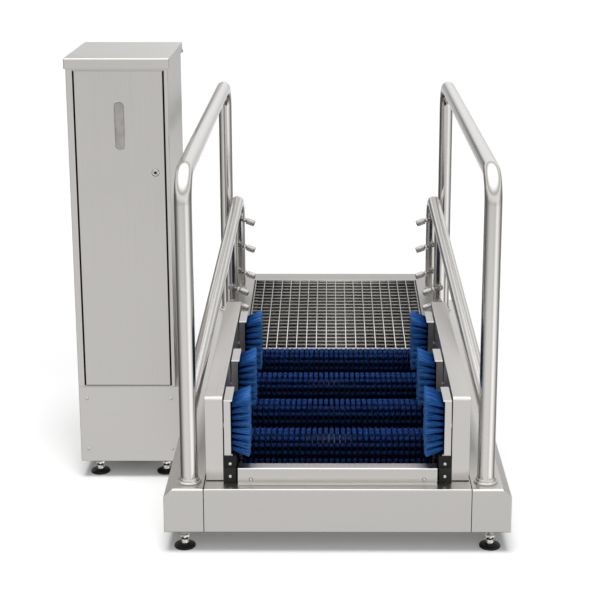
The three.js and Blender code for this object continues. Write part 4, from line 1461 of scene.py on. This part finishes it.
@dataclass
class Channel:
    """The pit's two sides: bearing rails, drive covers and side brushes."""

    shop: Workshop
    rail_inner: float = 280.0
    rail_outer: float = 315.0
    rail_front: float = 48.0
    rail_cut: float = 1.2
    rail_screws: Profile = ((48.0, 246.0), (45.4, 210.0))
    screw_radius: float = 4.6
    screw_height: float = 2.2
    cap_gap: float = 0.8
    cap_depth: float = 2.6
    cap_sunk: float = 4.0
    cap_bottom: float = 191.5
    cap_edge: float = 0.8
    split: float = 234.5
    cover_inner: float = 317.0
    cover_outer: float = 366.0
    cover_front: float = 57.0
    cover_rear: float = 944.0
    cover_top: float = 438.0
    cover_cut: float = 0.8
    cover_fold: float = 12.0
    seal_out: float = 0.25
    seal_gap: float = 0.6
    seal_width: float = 2.0
    seal_edge: float = 0.2
    seal_height: tuple[float, float] = (191.35, 193.4)

    def build(self) -> None:
        """Makes both sides."""
        middle = (self.rail_inner + self.rail_outer) / 2
        for label, side in SIDES.items():
            self.shop.folded(f"bearing_rail_{label}", BLACK, self.rail_cut)
            self.shop.folded(f"drive_cover_{label}", COVER_SHEET, self.cover_cut, fold=self.cover_fold,
                             lines=[(self.cover_front, self.cover_top)])
            heads = screw_heads([(side * middle, v, z) for v, z in self.rail_screws],
                                self.screw_radius, self.screw_height)
            self.shop.place(f"bearing_screws_{label}", heads, FITTING)
            cap = block([self.rail_inner + self.cap_gap, self.rail_outer - self.cap_gap],
                        [self.rail_front - self.cap_depth, self.rail_front + self.cap_sunk],
                        [self.cap_bottom, self.split], self.cap_edge)
            self.shop.place(f"bearing_cap_{label}", cap.on_side(side), BLOCK_GREY)
            # Painted shadow: a dark strip under the cover's foot.
            self.shop.place(f"cover_shadow_band_{label}", self.seal().on_side(side), SHADOWED)
            SideBrushes(self.shop, label, side).build()

    def seal(self) -> Surface:
        """A thin dark strip under the cover's front and outer side, as painted shadow of its foot.

        Returns:
            The right cover's seal.
        """
        front = block([self.cover_inner + self.seal_gap, self.cover_outer - self.seal_gap],
                      [self.cover_front - self.seal_out, self.cover_front + self.seal_width],
                      self.seal_height, self.seal_edge)
        outer = block([self.cover_outer - self.seal_width, self.cover_outer + self.seal_out],
                      [self.cover_front + self.seal_gap, self.cover_rear],
                      self.seal_height, self.seal_edge)
        return Surface.joined([front, outer])


@dataclass
class Grating:
    """The deck: its frame and its grating of deep bars along the walk and shallow bars across."""

    shop: Workshop
    half: float = 307.0
    front: float = 995.0
    rear: float = 1699.0
    level: float = 257.6
    level_at: float = 1000.0
    rise: float = 0.05
    height: float = 28.0
    bar: float = 3.0
    bar_edge: float = 0.5
    rim_gap: float = 1.6
    cross_height: float = 9.0
    cross_bar: float = 2.6
    cross_drop: float = 1.2
    cross_gap: float = 1.0
    bays_across: int = 18
    bays_along: int = 21
    shade_depth: float = 3.0
    frame_cut: float = 0.9
    bedding: tuple[float, float, float] = (3.4, 3.0, 0.3)
    bedding_gap: float = 3.2
    bedding_drop: float = 1.1
    bedding_end: float = 2.0

    @classmethod
    def top_at(cls, v: float) -> float:
        """The deck's height at a place along the walk."""
        return cls.level + cls.rise * (v - cls.level_at)

    def build(self) -> None:
        """Makes the bars with painted shade below their top edges, the frame, and painted gap shadows."""
        level = self.bars()
        # Painted shade: the along value falls off below the bars' top edges and darkens them.
        level.along = np.exp(level.points[:, 2] / self.shade_depth)
        level.points[:, 2] += self.level + self.rise * (level.points[:, 1] - self.level_at)
        self.shop.place("deck_grating_bars", level, GRATING_STEEL, stands_for=["deck_grating"], smooth=None)
        self.shop.folded("deck_frame", DECK_SHEET, self.frame_cut, opening=True)
        # Painted shadow: dark strips in the gaps between the grating and its frame.
        strips = []
        for side in SIDES.values():
            ends = (self.front + self.bedding_end, self.rear - self.bedding_end)
            route = np.array([[0, v, self.top_at(v) - self.bedding_drop] for v in ends])
            route += [side * (self.half + self.bedding_gap), 0, 0]
            strips.append(carried(plate_ring(*self.bedding), route, (1, 0, 0)))
        self.shop.place("grating_side_shadow_strips", Surface.joined(strips), SHADOWED)

    def bars(self) -> Surface:
        """All the bars on a level deck, with their top edges at nothing.

        Returns:
            The bars.
        """
        deep = plate_ring(self.bar, self.height, self.bar_edge)
        first, last = -self.half + self.bar / 2, self.half - self.bar / 2
        near, far = self.front + self.bar / 2, self.rear - self.bar / 2
        z = -self.height / 2
        parts = [carried(deep, [[u, self.front, z], [u, self.rear, z]], (1, 0, 0))
                 for u in np.linspace(first, last, self.bays_across + 1)]
        parts += [self.across(deep, first + self.rim_gap, last - self.rim_gap, v, z) for v in (near, far)]
        shallow = plate_ring(self.cross_bar, self.cross_height, self.bar_edge)
        z = -self.cross_drop - self.cross_height / 2
        parts += [self.across(shallow, first + self.cross_gap, last - self.cross_gap, v, z)
                  for v in np.linspace(near, far, self.bays_along + 1)[1:-1]]
        return Surface.joined(parts)

    @staticmethod
    def across(ring: np.ndarray, start: float, end: float, v: float, z: float) -> Surface:
        """A bar across the walk.

        Args:
            ring: Its section.
            start: Its left end.
            end: Its right end.
            v: Its place along the walk.
            z: Its middle's height.

        Returns:
            The bar.
        """
        return carried(ring, [[start, v, z], [end, v, z]], (0, -1, 0))


@dataclass
class Rails:
    """The handrails, the lower rails and the spray nozzles on them."""

    shop: Workshop
    hand_radius: float = 24.15
    hand_u: float = 412.5
    hand_front: float = 57.0
    hand_rear: float = 1650.0
    hand_top: float = 1061.0
    hand_bend: float = 80.0
    hand_sides: int = 44
    foot: float = 191.3
    tube_lift: float = 1.0
    flange: Profile = ((0, 0), (33.0, 0), (33.5, 0.6), (33.5, 3.4), (32.8, 4.0), (29.0, 4.2), (28.0, 5.0),
                       (28.0, 10.0), (27.4, 11.0), (25.2, 11.4), (0, 11.4))
    flange_weld: float = 2.2
    flange_weld_z: float = 10.6
    low_radius: float = 22.5
    low_front_z: float = 393.0
    low_rear_z: float = 645.0
    low_rear_u: float = 365.0
    low_bend: float = 58.0
    low_sides: int = 40
    leg_step: float = 0.05
    stub_radius: float = 8.0
    stub_sunk: float = 3.0
    bend_steps: int = 18
    rear_leg: float = 1616.0
    middle_leg: float = 1320.0
    rear_shares: tuple[float, ...] = (0.79, 0.5, 0.21)
    middle_shares: tuple[float, ...] = (0.35,)
    fixed_share: float = 0.175
    boss: float = 4.0
    boss_profile: Profile = ((0, 0), (8, 0), (8, 7.5), (7.4, 8.3), (0, 8.3))
    boss_out: float = 4.6
    pin_radius: float = 2.95
    pin_out: tuple[float, float] = (1.2, 2.0)
    pin_round: float = 0.55
    eye: float = 16.0
    bead_lift: float = 0.9

    def build(self) -> None:
        """Makes both sides."""
        for label, side in SIDES.items():
            self.handrail(label, side)
            self.lower_rail(label, side)
            for number, (leg, share) in enumerate(self.moving_nozzles(), 1):
                Nozzle(self.shop, self.pivot(leg, share)).build(label, side, number)

    def moving_nozzles(self) -> list[tuple[float, float]]:
        """Each tilting nozzle's leg and its share of the leg's height."""
        return ([(self.rear_leg, share) for share in self.rear_shares]
                + [(self.middle_leg, share) for share in self.middle_shares])

    def handrail(self, label: str, side: int) -> None:
        """Makes one bent tube with a flange and a weld at each foot.

        Args:
            label: The side's name.
            side: Minus one on the left, one on the right.
        """
        ends = (self.hand_front, self.hand_rear)
        low, high = self.foot + self.tube_lift, self.hand_top
        corners = [(self.hand_u, v, z) for v, z in zip(np.repeat(ends, 2), (low, high, high, low))]
        route = bend(corners, self.hand_bend, self.bend_steps)
        tube = carried(ring_of(self.hand_radius, self.hand_sides), route, (1, 0, 0)).on_side(side)
        self.shop.place(f"handrail_{label}_tube", tube, TUBE, stands_for=[f"handrail_{label}"], smooth=35)
        parts = []
        for v in ends:
            parts.append(lathed(self.flange, 56).moved(side * self.hand_u, v, self.foot))
            weld = weld_ring(self.hand_radius, self.flange_weld)
            parts.append(weld.moved(side * self.hand_u, v, self.foot + self.flange_weld_z))
        self.shop.place(f"handrail_{label}_flanges", Surface.joined(parts), FITTING, smooth=35)

    def low_at(self, v: float) -> np.ndarray:
        """The lower rail's centre line on the right side: straight from the post to the bend.

        Args:
            v: A place along the machine.

        Returns:
            The point.
        """
        share = (v - self.hand_front) / (self.rear_leg - self.hand_front)
        u = self.hand_u + (self.low_rear_u - self.hand_u) * share
        return np.array([u, v, self.low_front_z + (self.low_rear_z - self.low_front_z) * share])

    def low_direction(self) -> np.ndarray:
        """The lower rail's direction away from the post."""
        away = self.low_at(self.rear_leg) - self.low_at(self.hand_front)
        return away / np.linalg.norm(away)

    def leg_foot(self, leg: float) -> np.ndarray:
        """Where a leg of the right side ends, a seat's gap above the deck at the leg's rear."""
        return np.array([self.low_at(leg)[0], leg, Grating.top_at(leg + self.low_radius) + SEAT])

    def pivot(self, leg: float, share: float) -> np.ndarray:
        """A nozzle's pivot on a leg of the right side.

        Args:
            leg: The leg's place along the machine.
            share: The pivot's height as a share of the leg's.

        Returns:
            The pivot's place.
        """
        top = self.low_at(leg)
        height = Grating.top_at(leg) + (top[2] - Grating.top_at(leg)) * share
        return np.array([top[0], leg - self.low_radius - self.boss - self.eye / 2, height])

    def lower_rail(self, label: str, side: int) -> None:
        """Makes the sloping tube with its two legs, beads, bosses, pins and the fixed nozzle.

        Args:
            label: The side's name.
            side: Minus one on the left, one on the right.
        """
        start, corner = self.low_at(self.hand_front), self.low_at(self.rear_leg)
        foot, middle_foot = self.leg_foot(self.rear_leg), self.leg_foot(self.middle_leg)
        route = bend([start, corner, foot], self.low_bend, self.bend_steps)
        leg = [self.low_at(self.middle_leg), middle_foot]
        parts = [self.coped(carried(ring_of(self.low_radius, self.low_sides), route, (1, 0, 0))),
                 carried(ring_of(self.low_radius - self.leg_step, self.low_sides), leg, (1, 0, 0))]
        parts += [self.boss_and_pin(self.pivot(leg, share), leg) for leg, share in self.moving_nozzles()]
        fixed = self.pivot(self.middle_leg, self.fixed_share)
        r, length = self.stub_radius, self.middle_leg - self.low_radius + self.stub_sunk - fixed[1]
        stub = lathed([(0, 0), (r, 0), (r, length), (0, length)], 28)
        parts.append(stub.turned("X", -math.pi / 2).moved(*fixed))
        self.shop.place(f"lower_rail_{label}_tube", Surface.joined(parts).on_side(side), TUBE,
                        stands_for=[f"lower_rail_{label}"], smooth=35)
        beads = self.beads(middle_foot, foot).on_side(side)
        self.shop.place(f"lower_rail_{label}_beads", beads, WELD, smooth=35)
        Nozzle(self.shop, fixed).build(label, side, 0, Body.FRAME.value)

    def coped(self, tube: Surface) -> Surface:
        """Fits the tube's front ring to the handrail's post: each point slides along the tube
        until it is the post's radius and a small gap from the post's axis.

        Args:
            tube: The tube, whose first ring is moved.

        Returns:
            The same tube.
        """
        ring = tube.points[:self.low_sides]
        away = self.low_direction()
        reach = self.hand_radius + SEAT
        offset = ring[:, :2] - np.array([self.hand_u, self.hand_front])
        a = away[0] ** 2 + away[1] ** 2
        b = 2 * (offset @ away[:2])
        c = np.sum(offset ** 2, axis=1) - reach ** 2
        slide = (-b + np.sqrt(np.maximum(b * b - 4 * a * c, 0))) / (2 * a)
        tube.points[:self.low_sides] = ring + slide[:, None] * away
        return tube

    def beads(self, *feet: np.ndarray) -> Surface:
        """Weld beads at the front joint and at the legs' feet: each runs round the smaller tube
        on the larger one's skin or on the deck.

        Args:
            feet: The legs' feet.

        Returns:
            The beads.
        """
        circle = ring_of(1.0, 72)
        start, away = self.low_at(self.hand_front), self.low_direction()
        u_axis = np.array([1.0, 0, 0]) - away * away[0]
        u_axis /= np.linalg.norm(u_axis)
        axes = np.array([u_axis, np.cross(away, u_axis)])
        ring = start + self.low_radius * (circle @ axes)
        offset = ring[:, :2] - start[:2]
        slide = np.sqrt(np.maximum((self.hand_radius + SEAT) ** 2 - offset[:, 0] ** 2, 0)) - offset[:, 1]
        parts = [bead_on(ring + slide[:, None] * away)]
        for foot in feet:
            loop = np.tile(foot, (len(circle), 1))
            loop[:, :2] += self.low_radius * circle
            loop[:, 2] = Grating.top_at(loop[:, 1]) + self.bead_lift
            parts.append(bead_on(loop))
        return Surface.joined(parts)

    def boss_and_pin(self, pivot: np.ndarray, leg: float) -> Surface:
        """The boss on a leg and the pin that the nozzle's eye turns on.

        Args:
            pivot: The nozzle's pivot.
            leg: The leg's place along the machine.

        Returns:
            Both.
        """
        face = leg - self.low_radius
        length = self.boss + self.eye + SEAT
        r, (straight, end) = self.pin_radius, (length + out for out in self.pin_out)
        pin = lathed([(0, 0), (r, 0), (r, straight), (r - self.pin_round, end), (0, end)], 20)
        boss = lathed(self.boss_profile, 28)
        return Surface.joined([facing_front(boss, pivot[0], face + self.boss_out, pivot[2]),
                               facing_front(pin, pivot[0], face, pivot[2])])


@dataclass
class Nozzle:
    """A spray nozzle: an eye, a neck, a hexagon collar and a fluted cap, pointing in and down."""

    shop: Workshop
    pivot: np.ndarray
    dip: float = math.radians(21)
    eye_radius: float = 10.0
    eye_width: float = 15.6
    eye_bore: float = 3.25
    eye_edge: float = 1.2
    eye_shade: float = 0.6
    neck: Profile = ((0, 0), (5.4, 0), (5.4, 12.0), (6.9, 12.4), (6.9, 15.6), (5.2, 16.0), (5.2, 19.4),
                     (8.4, 20.3), (9.4, 21.4), (9.4, 28.6), (8.4, 29.7), (5.8, 30.2), (5.8, 33.0))
    collar: Profile = ((10.6, 33.4), (11.8, 34.6), (11.8, 38.6), (10.9, 39.2), (10.9, 41.2), (11.8, 41.8))
    cap: Profile = ((11.8, 59.6), (10.9, 63.2), (9.4, 65.0), (8.6, 65.6), (4.6, 65.6), (3.8, 64.8),
                    (3.8, 59.6), (0, 59.6))
    flute_depth: float = 0.07
    recess_radius: float = 5.0
    shine_run: float = 5.5

    def build(self, label: str, side: int, number: int, body: Optional[str] = None) -> None:
        """Makes the nozzle and mounts it.

        Args:
            label: The side's name.
            side: Minus one on the left, one on the right.
            number: The nozzle's number on its side, 0 for the fixed one.
            body: The body that it rides on, its own if not given.
        """
        stem, eye = self.stem(), self.eye()
        # Painted shade: the along value is low near the stem's axis, so its grooves and recesses render
        # darker; the eye gets a middle value.
        shine = (np.hypot(stem.points[:, 0], stem.points[:, 1]) - self.recess_radius) / self.shine_run
        stem.along = np.clip(shine, 0, 1)
        eye.along = np.full(len(eye.points), self.eye_shade)
        stem = stem.turned("Y", -(math.pi / 2 + self.dip))
        whole = Surface.joined([stem, eye]).moved(*self.pivot).on_side(side)
        node = f"spray_nozzle_{label}_{number}" if number else f"spray_nozzle_{label}_fixed"
        self.shop.place(f"{node}_turned", whole, CHROME, body or f"nozzle_{label}_{number}",
                        [node] if number else [], smooth=32)

    def stem(self) -> Surface:
        """The stem along the upright axis, with its hexagon collar and its fluted cap.

        Returns:
            The stem, its foot at nothing.
        """
        nut, flutes = hexagon([8, 9]), fluted([18, 19], 18, self.flute_depth)
        return lathed([*self.neck, *self.collar, *self.cap], 54,
                      lambda row, angle: nut(row, angle) * flutes(row, angle))

    def eye(self) -> Surface:
        """The eye: a bored disc on the pin.

        Returns:
            The eye about the axis along the walk.
        """
        w, r, bore, edge = self.eye_width / 2, self.eye_radius, self.eye_bore, self.eye_edge
        section = [(bore, -w), (r - edge, -w), (r, -w + edge), (r, w - edge), (r - edge, w), (bore, w),
                   (bore, -w)]
        return tubular(section, 40).turned("X", math.pi / 2)


@dataclass
class Cabinet:
    """The supply cabinet: plinth, body, door with window and lock, and lid."""

    shop: Workshop
    front: float = 505.0
    cut: float = 0.8
    body_cut: float = 0.6
    fold: float = 2.5
    screws: Profile = ((-768.5, 262.0), (-510.0, 262.0), (-768.5, 97.0), (-510.0, 97.0))
    screw_radius: float = 4.8
    screw_height: float = 2.4
    feet_u: tuple[float, ...] = (-743.0, -535.0)
    feet_v: tuple[float, ...] = (555.0, 840.0)
    plinth_bottom: float = 56.0
    lid_front: float = 500.0
    lid_top: float = 1312.6
    lid_fold: float = 4.5
    lid_pin: tuple[float, float, float] = (-490.0, 887.0, 1286.0)
    lid_knob: Profile = ((0, 0), (5.2, 0), (5.2, 1.4), (4.2, 2.4), (0, 2.4))
    door_left: float = -772.0
    door_right: float = -508.0
    door_bottom: float = 306.3
    door_top: float = 1275.3
    trim_width: float = 3.4
    trim_gap: float = 0.05
    trim_depth: tuple[float, float] = (-0.25, 1.5)
    trim_end: float = 0.6
    strip_edge: float = 0.2
    stop_depth: tuple[float, float] = (0.6, 15.0)
    stop_height: tuple[float, float] = (0.25, 1.9)
    stop_end: float = 0.5
    window: tuple[float, float, float] = (30.0, 1040.0, 1186.0)
    window_bead: float = 1.1
    window_sunk: float = 0.2
    lock_u: float = -538.0
    lock_z: float = 972.5
    lock_head: Profile = ((0, 0), (9.6, 0), (10.4, 0.8), (10.4, 1.6), (9.0, 2.7), (7.2, 3.0), (6.6, 2.4),
                          (0, 2.4))
    lock_washer: float = 11.5
    lock_core: Profile = ((0, 0), (4.6, 0), (4.2, 0.35), (0, 0.35))
    lock_core_out: float = 2.35
    barrel_radius: float = 6.6
    barrel_length: float = 24.6
    barrel_rear: float = 23.2
    cam_depth: tuple[float, float] = (20.5, 23.2)
    cam_half: float = 6.8
    cam_reach: float = 35.8
    cam_edge: float = 0.8
    slot_edge: float = 0.3
    slot_half: tuple[float, float] = (3.6, 1.1)
    slot_depth: tuple[float, float] = (-3.3, -2.6)

    def build(self) -> None:
        """Makes the sheets, the lock and the small pieces."""
        door, lid = Body.DOOR.value, Body.LID.value
        self.shop.folded("cabinet_plinth", SHEET_X, self.cut, fold=self.fold, corners=True)
        self.shop.folded("cabinet_body", SHEET_Z, self.body_cut, fold=self.fold, corners=True, opening=True)
        self.shop.folded("cabinet_door", DOOR_SHEET, self.body_cut, door, opening=True)
        self.shop.folded("cabinet_lid", SHEET_X, self.cut, lid, self.lid_fold,
                         [(self.lid_front, self.lid_top)], True)
        self.shop.keep("sight_window", FROSTED)
        self.shop.keep("canister", POLYMER)
        spots = [(u, self.front, z) for u, z in self.screws]
        self.shop.place("plinth_screws", screw_heads(spots, self.screw_radius, self.screw_height), FITTING)
        self.lock()
        self.door_edges()
        self.window_rim()
        knob = lathed(self.lid_knob, 32).turned("Y", math.pi / 2)
        self.shop.place("lid_hinge_knob", knob.moved(*self.lid_pin), DRIVE_STEEL, lid)
        places = [(u, v) for u in self.feet_u for v in self.feet_v]
        for number, (u, v) in enumerate(places, 1):
            LevellingFoot(self.shop, u, v, self.plinth_bottom).build(f"cabinet_foot_{number}")

    def door_edges(self) -> None:
        """Makes painted gap shadows on the door's upright edges and the stop over its top edge."""
        depth = [self.front + out for out in self.trim_depth]
        height = [self.door_bottom + self.trim_end, self.door_top - self.trim_end]
        strips = [block([edge + inward * self.trim_gap, edge + inward * self.trim_width], depth, height,
                        self.strip_edge)
                  for edge, inward in ((self.door_left, 1), (self.door_right, -1))]
        self.shop.place("door_gap_shadows", Surface.joined(strips), SHADOWED, Body.DOOR.value)
        stop = block([self.door_left + self.stop_end, self.door_right - self.stop_end],
                     [self.front + out for out in self.stop_depth],
                     [self.door_top + up for up in self.stop_height], self.strip_edge)
        self.shop.place("door_top_stop", stop, SHEET_X)

    def window_rim(self) -> None:
        """Makes a thin bead round the window: two half circles joined by straight sides."""
        width, bottom, top = self.window
        middle, r, v = (self.door_left + self.door_right) / 2, width / 2, self.front + self.window_sunk
        angle = np.linspace(0, np.pi, 15)
        arc = np.stack([r * np.cos(angle), 0 * angle, r * np.sin(angle)], -1)
        loop = np.concatenate([arc + [middle, v, top - r], [middle, v, bottom + r] - arc])
        self.shop.place("window_bead", bead_on(loop, self.window_bead), FITTING, Body.DOOR.value)

    def on_lock(self, surface: Surface, out: float) -> Surface:
        """A turned shape laid on the lock's axis, with its foot behind the door's face by out."""
        return facing_front(surface, self.lock_u, self.front + out, self.lock_z)

    def lock(self) -> None:
        """Makes a turned head with a key slot, its barrel and its cam behind the door."""
        u, z, r, length = self.lock_u, self.lock_z, self.barrel_radius, self.barrel_length
        head = lathed(self.lock_head, 48)
        barrel = lathed([(0, 0), (r, 0), (r, length), (0, length)], 32)
        cam = block([u - self.cam_half, u + self.cam_half], [self.front + out for out in self.cam_depth],
                    [z - self.cam_reach, z + self.cam_half], self.cam_edge)
        parts = [self.on_lock(head, -SEAT), self.on_lock(barrel, self.barrel_rear), cam]
        self.shop.place("door_lock_turned", Surface.joined(parts), FITTING, Body.LOCK.value, ["door_lock"],
                        smooth=35)
        # Painted shadow: a dark ring round the lock's head, joined with the lock's dark core.
        ring = self.on_lock(washer(self.lock_washer), 0)
        core = self.on_lock(lathed(self.lock_core, 32), -SEAT - self.lock_core_out)
        self.shop.place("door_lock_shadow_ring_and_core", Surface.joined([ring, core]), BLOCK_GREY, Body.LOCK.value)
        # Painted shade: a black block stands in for the shade inside the key slot.
        half_u, half_z = self.slot_half
        slot = block([u - half_u, u + half_u], [self.front + out for out in self.slot_depth],
                     [z - half_z, z + half_z], self.slot_edge)
        self.shop.place("door_lock_slot", slot, SHADOWED, Body.LOCK.value)


@dataclass
class Drive:
    """The hidden drive: gear motor, sprocket and chain."""

    shop: Workshop

    def build(self) -> None:
        """Gives the drive's nodes their finishes."""
        self.shop.keep("gear_motor", ENAMEL)
        self.shop.keep("drive_sprocket", DRIVE_STEEL)
        self.shop.keep("drive_chain", DRIVE_STEEL)


# Studio


@dataclass(frozen=True)
class Sun:
    """A soft distant lamp.

    Attributes:
        name: The lamp's name.
        azimuth: Degrees to the right of the front.
        elevation: Degrees above the floor.
        angle: How wide it is, in degrees.
        strength: Its strength.
    """

    name: str
    azimuth: float
    elevation: float
    angle: float
    strength: float

    def hang(self) -> None:
        """Adds the lamp to the scene. Metal doesn't show it."""
        data = bpy.data.lights.new(self.name, "SUN")
        data.energy = self.strength
        data.angle = math.radians(self.angle)
        made = bpy.data.objects.new(self.name, data)
        level, rise = math.radians(self.azimuth), math.radians(self.elevation)
        toward = Vector((math.sin(level) * math.cos(rise), -math.cos(level) * math.cos(rise), math.sin(rise)))
        made.rotation_euler = toward.to_track_quat("Z", "Y").to_euler()
        made.visible_glossy = False
        bpy.context.scene.collection.objects.link(made)


@dataclass(frozen=True)
class Studio:
    """Camera, floor, world and lamps.

    Attributes:
        eye: The camera's place in metres.
        pitch: How far it looks down, in radians.
        yaw: How far it looks aside.
        lens: Its focal length.
        sensor: Its sensor's width.
        shift: Its shift across and up.
        floor_half: Half the floor's size.
        floor_tone: The floor's colour.
        floor_glow: What lifts the floor to white for the camera.
        peak: The brightest value that the curves can hold.
        room: What metal sees around it below eye level: degrees and brightness.
        room_above: The same above it.
        low_gain: How the lower room's brightness changes with the height, -1 to 1.
        horizon: Where the lower room turns into the upper one.
        ceiling: What metal sees overhead, by height.
        ceiling_share: Where the ceiling takes over.
        diffuse_level: The plain light on surfaces that aren't shiny.
        suns: The lamps.
    """

    eye: tuple[float, float, float] = (0.136, -4.552, 1.865)
    pitch: float = 0.2366
    yaw: float = -0.0028
    lens: float = 86.42
    sensor: float = 36.0
    shift: tuple[float, float] = (-0.0425, -0.15)
    floor_half: float = 60.0
    floor_tone: float = 0.90
    floor_glow: float = 0.06
    peak: float = 2.0
    room: Profile = (
        (-180, 1.0), (-173, 0.90), (-163, 0.45), (-150, 0.20), (-125, 0.10), (-98, 0.16), (-78, 0.45),
        (-60, 0.78), (-38, 1.0), (-10, 1.0), (7, 1.0), (17, 0.86), (27, 1.05), (42, 1.5), (62, 1.40),
        (84, 0.85), (108, 0.32), (132, 0.28), (150, 0.60), (162, 0.95), (172, 1.05), (180, 1.0))
    room_above: Profile = (
        (-180, 1.0), (-175, 0.6), (-168, 0.16), (-140, 0.12), (-98, 0.3), (-60, 0.9), (60, 1.2), (100, 0.5),
        (140, 0.4), (160, 0.9), (180, 1.0))
    low_gain: Profile = (
        (-1, 0.3), (-0.66, 0.3), (-0.48, 0.98), (-0.3, 1.0), (-0.2, 0.88), (-0.11, 0.72), (0, 0.74),
        (1, 0.74))
    horizon: Profile = ((-1, 0), (0, 0), (0.04, 1), (1, 1))
    ceiling: Profile = (
        (-1, 1.0), (0, 1.0), (0.32, 1.12), (0.39, 0.62), (0.46, 0.62), (0.62, 1.35), (0.8, 2.0), (1, 2.2))
    ceiling_share: Profile = ((-1, 0), (0.10, 0), (0.22, 1), (1, 1))
    diffuse_level: float = 0.20
    suns: tuple[Sun, ...] = (Sun("overhead", 0, 80, 26, 2.3), Sun("front", 12, 42, 44, 0.75))

    def camera(self) -> None:
        """Sets the photograph's view. The focal length in pixels is lens / sensor x 600."""
        data = bpy.data.cameras.new("camera")
        data.lens = self.lens
        data.sensor_width = self.sensor
        data.sensor_fit = "HORIZONTAL"
        data.shift_x, data.shift_y = self.shift
        data.clip_end = 200
        made = bpy.data.objects.new("camera", data)
        made.location = self.eye
        made.rotation_euler = (math.pi / 2 - self.pitch, 0, -self.yaw)
        bpy.context.scene.collection.objects.link(made)
        bpy.context.scene.camera = made

    def floor(self) -> None:
        """Lays a plain white floor that takes the object's shadow."""
        size = self.floor_half
        data = bpy.data.meshes.new("floor")
        corners = [(-size, -size, 0), (size, -size, 0), (size, size, 0), (-size, size, 0)]
        data.from_pydata(corners, [], [(0, 1, 2, 3)])
        made = bpy.data.objects.new("floor", data)
        bpy.context.scene.collection.objects.link(made)
        g = Graph("floor_white")
        g.set(Roughness=0.9, Specular_IOR_Level=0.0)
        g.shader.inputs["Base Color"].default_value = (*[self.floor_tone] * 3, 1)
        glow = g.nodes.new("ShaderNodeEmission")
        path = g.nodes.new("ShaderNodeLightPath")
        glow.inputs["Color"].default_value = (1, 1, 1, 1)
        strength = g.maths("MULTIPLY", path.outputs["Is Camera Ray"], self.floor_glow)
        g.links.new(strength, glow.inputs["Strength"])
        both = g.nodes.new("ShaderNodeAddShader")
        g.links.new(g.shader.outputs[0], both.inputs[0])
        g.links.new(glow.outputs[0], both.inputs[1])
        g.links.new(both.outputs[0], g.output.inputs["Surface"])
        data.materials.append(g.material)
        made.visible_glossy = False

    def world(self) -> None:
        """Makes the world: white to the camera, plain grey light to surfaces that aren't shiny,
        and the pale room to gloss."""
        world = bpy.data.worlds.new("studio")
        bpy.context.scene.world = world
        world.use_nodes = True
        tree = NodeTree(world.node_tree)
        out = tree.nodes.new("ShaderNodeOutputWorld")
        ground = tree.nodes.new("ShaderNodeBackground")
        tree.links.new(ground.outputs[0], out.inputs["Surface"])
        path = tree.nodes.new("ShaderNodeLightPath")
        shiny = tree.maths("MAXIMUM", path.outputs["Is Glossy Ray"], path.outputs["Is Transmission Ray"])
        camera = path.outputs["Is Camera Ray"]
        rest = tree.maths("SUBTRACT", 1.0, tree.maths("MAXIMUM", shiny, camera))
        seen = tree.maths("ADD", camera, tree.maths("MULTIPLY", shiny, self.gloss(tree)))
        total = tree.maths("ADD", seen, tree.maths("MULTIPLY", rest, self.diffuse_level))
        tree.links.new(total, ground.inputs["Strength"])
        ground.inputs["Color"].default_value = (1, 1, 1, 1)

    def gloss(self, tree: NodeTree) -> bpy.types.NodeSocket:
        """The room that metal shows: its brightness changes with the level angle from the
        camera's side and with the height, with dark flags at the sides and a light ceiling.

        Args:
            tree: The world's nodes.

        Returns:
            The brightness.
        """
        place = tree.nodes.new("ShaderNodeTexCoord")
        split = tree.nodes.new("ShaderNodeSeparateXYZ")
        tree.links.new(place.outputs["Generated"], split.inputs[0])
        back = tree.maths("MULTIPLY", split.outputs["Y"], -1.0)
        angle = tree.maths("ARCTAN2", split.outputs["X"], back)
        turn = tree.maths("ADD", tree.maths("DIVIDE", angle, 2 * math.pi), 0.5)
        height = tree.maths("ADD", tree.maths("MULTIPLY", split.outputs["Z"], 0.5), 0.5)
        lower = tree.maths("MULTIPLY", self.curve(tree, turn, self.room, 360),
                           self.curve(tree, height, self.low_gain, 2))
        upper = self.curve(tree, turn, self.room_above, 360)
        level = tree.blended(lower, upper, self.curve(tree, height, self.horizon, 2))
        return tree.blended(level, self.curve(tree, height, self.ceiling, 2),
                            self.curve(tree, height, self.ceiling_share, 2))

    def curve(self, tree: NodeTree, value: bpy.types.NodeSocket, stops: Profile,
              span: float) -> bpy.types.NodeSocket:
        """A smooth curve through stops, held as a ramp of grey and scaled to its peak.

        Args:
            tree: The world's nodes.
            value: Where on the curve, 0 to 1.
            stops: Places from minus half the span to plus half of it, and their brightness.
            span: The places' span.

        Returns:
            The brightness.
        """
        greys = [((at + span / 2) / span, (bright / self.peak,) * 3) for at, bright in stops]
        return tree.maths("MULTIPLY", tree.ramp(value, greys, "EASE"), self.peak)

    def build(self) -> None:
        """Sets the whole stage."""
        self.camera()
        self.floor()
        self.world()
        for sun in self.suns:
            sun.hang()
        bpy.context.scene.view_settings.view_transform = "Standard"


def main() -> None:
    """Builds every sub-assembly in order and reports the pieces."""
    logging.basicConfig(level=logging.INFO, format="%(name)s: %(message)s")
    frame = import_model()
    Studio().build()
    shop = Workshop(frame["nodes"])
    rollers = [Roller(shop, number) for number in range(1, 5)]
    assemblies = (Base(shop), Drive(shop), Channel(shop), Grating(shop), Rails(shop), Cabinet(shop))
    for assembly in (*assemblies, *rollers):
        assembly.build()
    log.info("%d pieces made", shop.pieces)


if __name__ == "__main__":
    main()
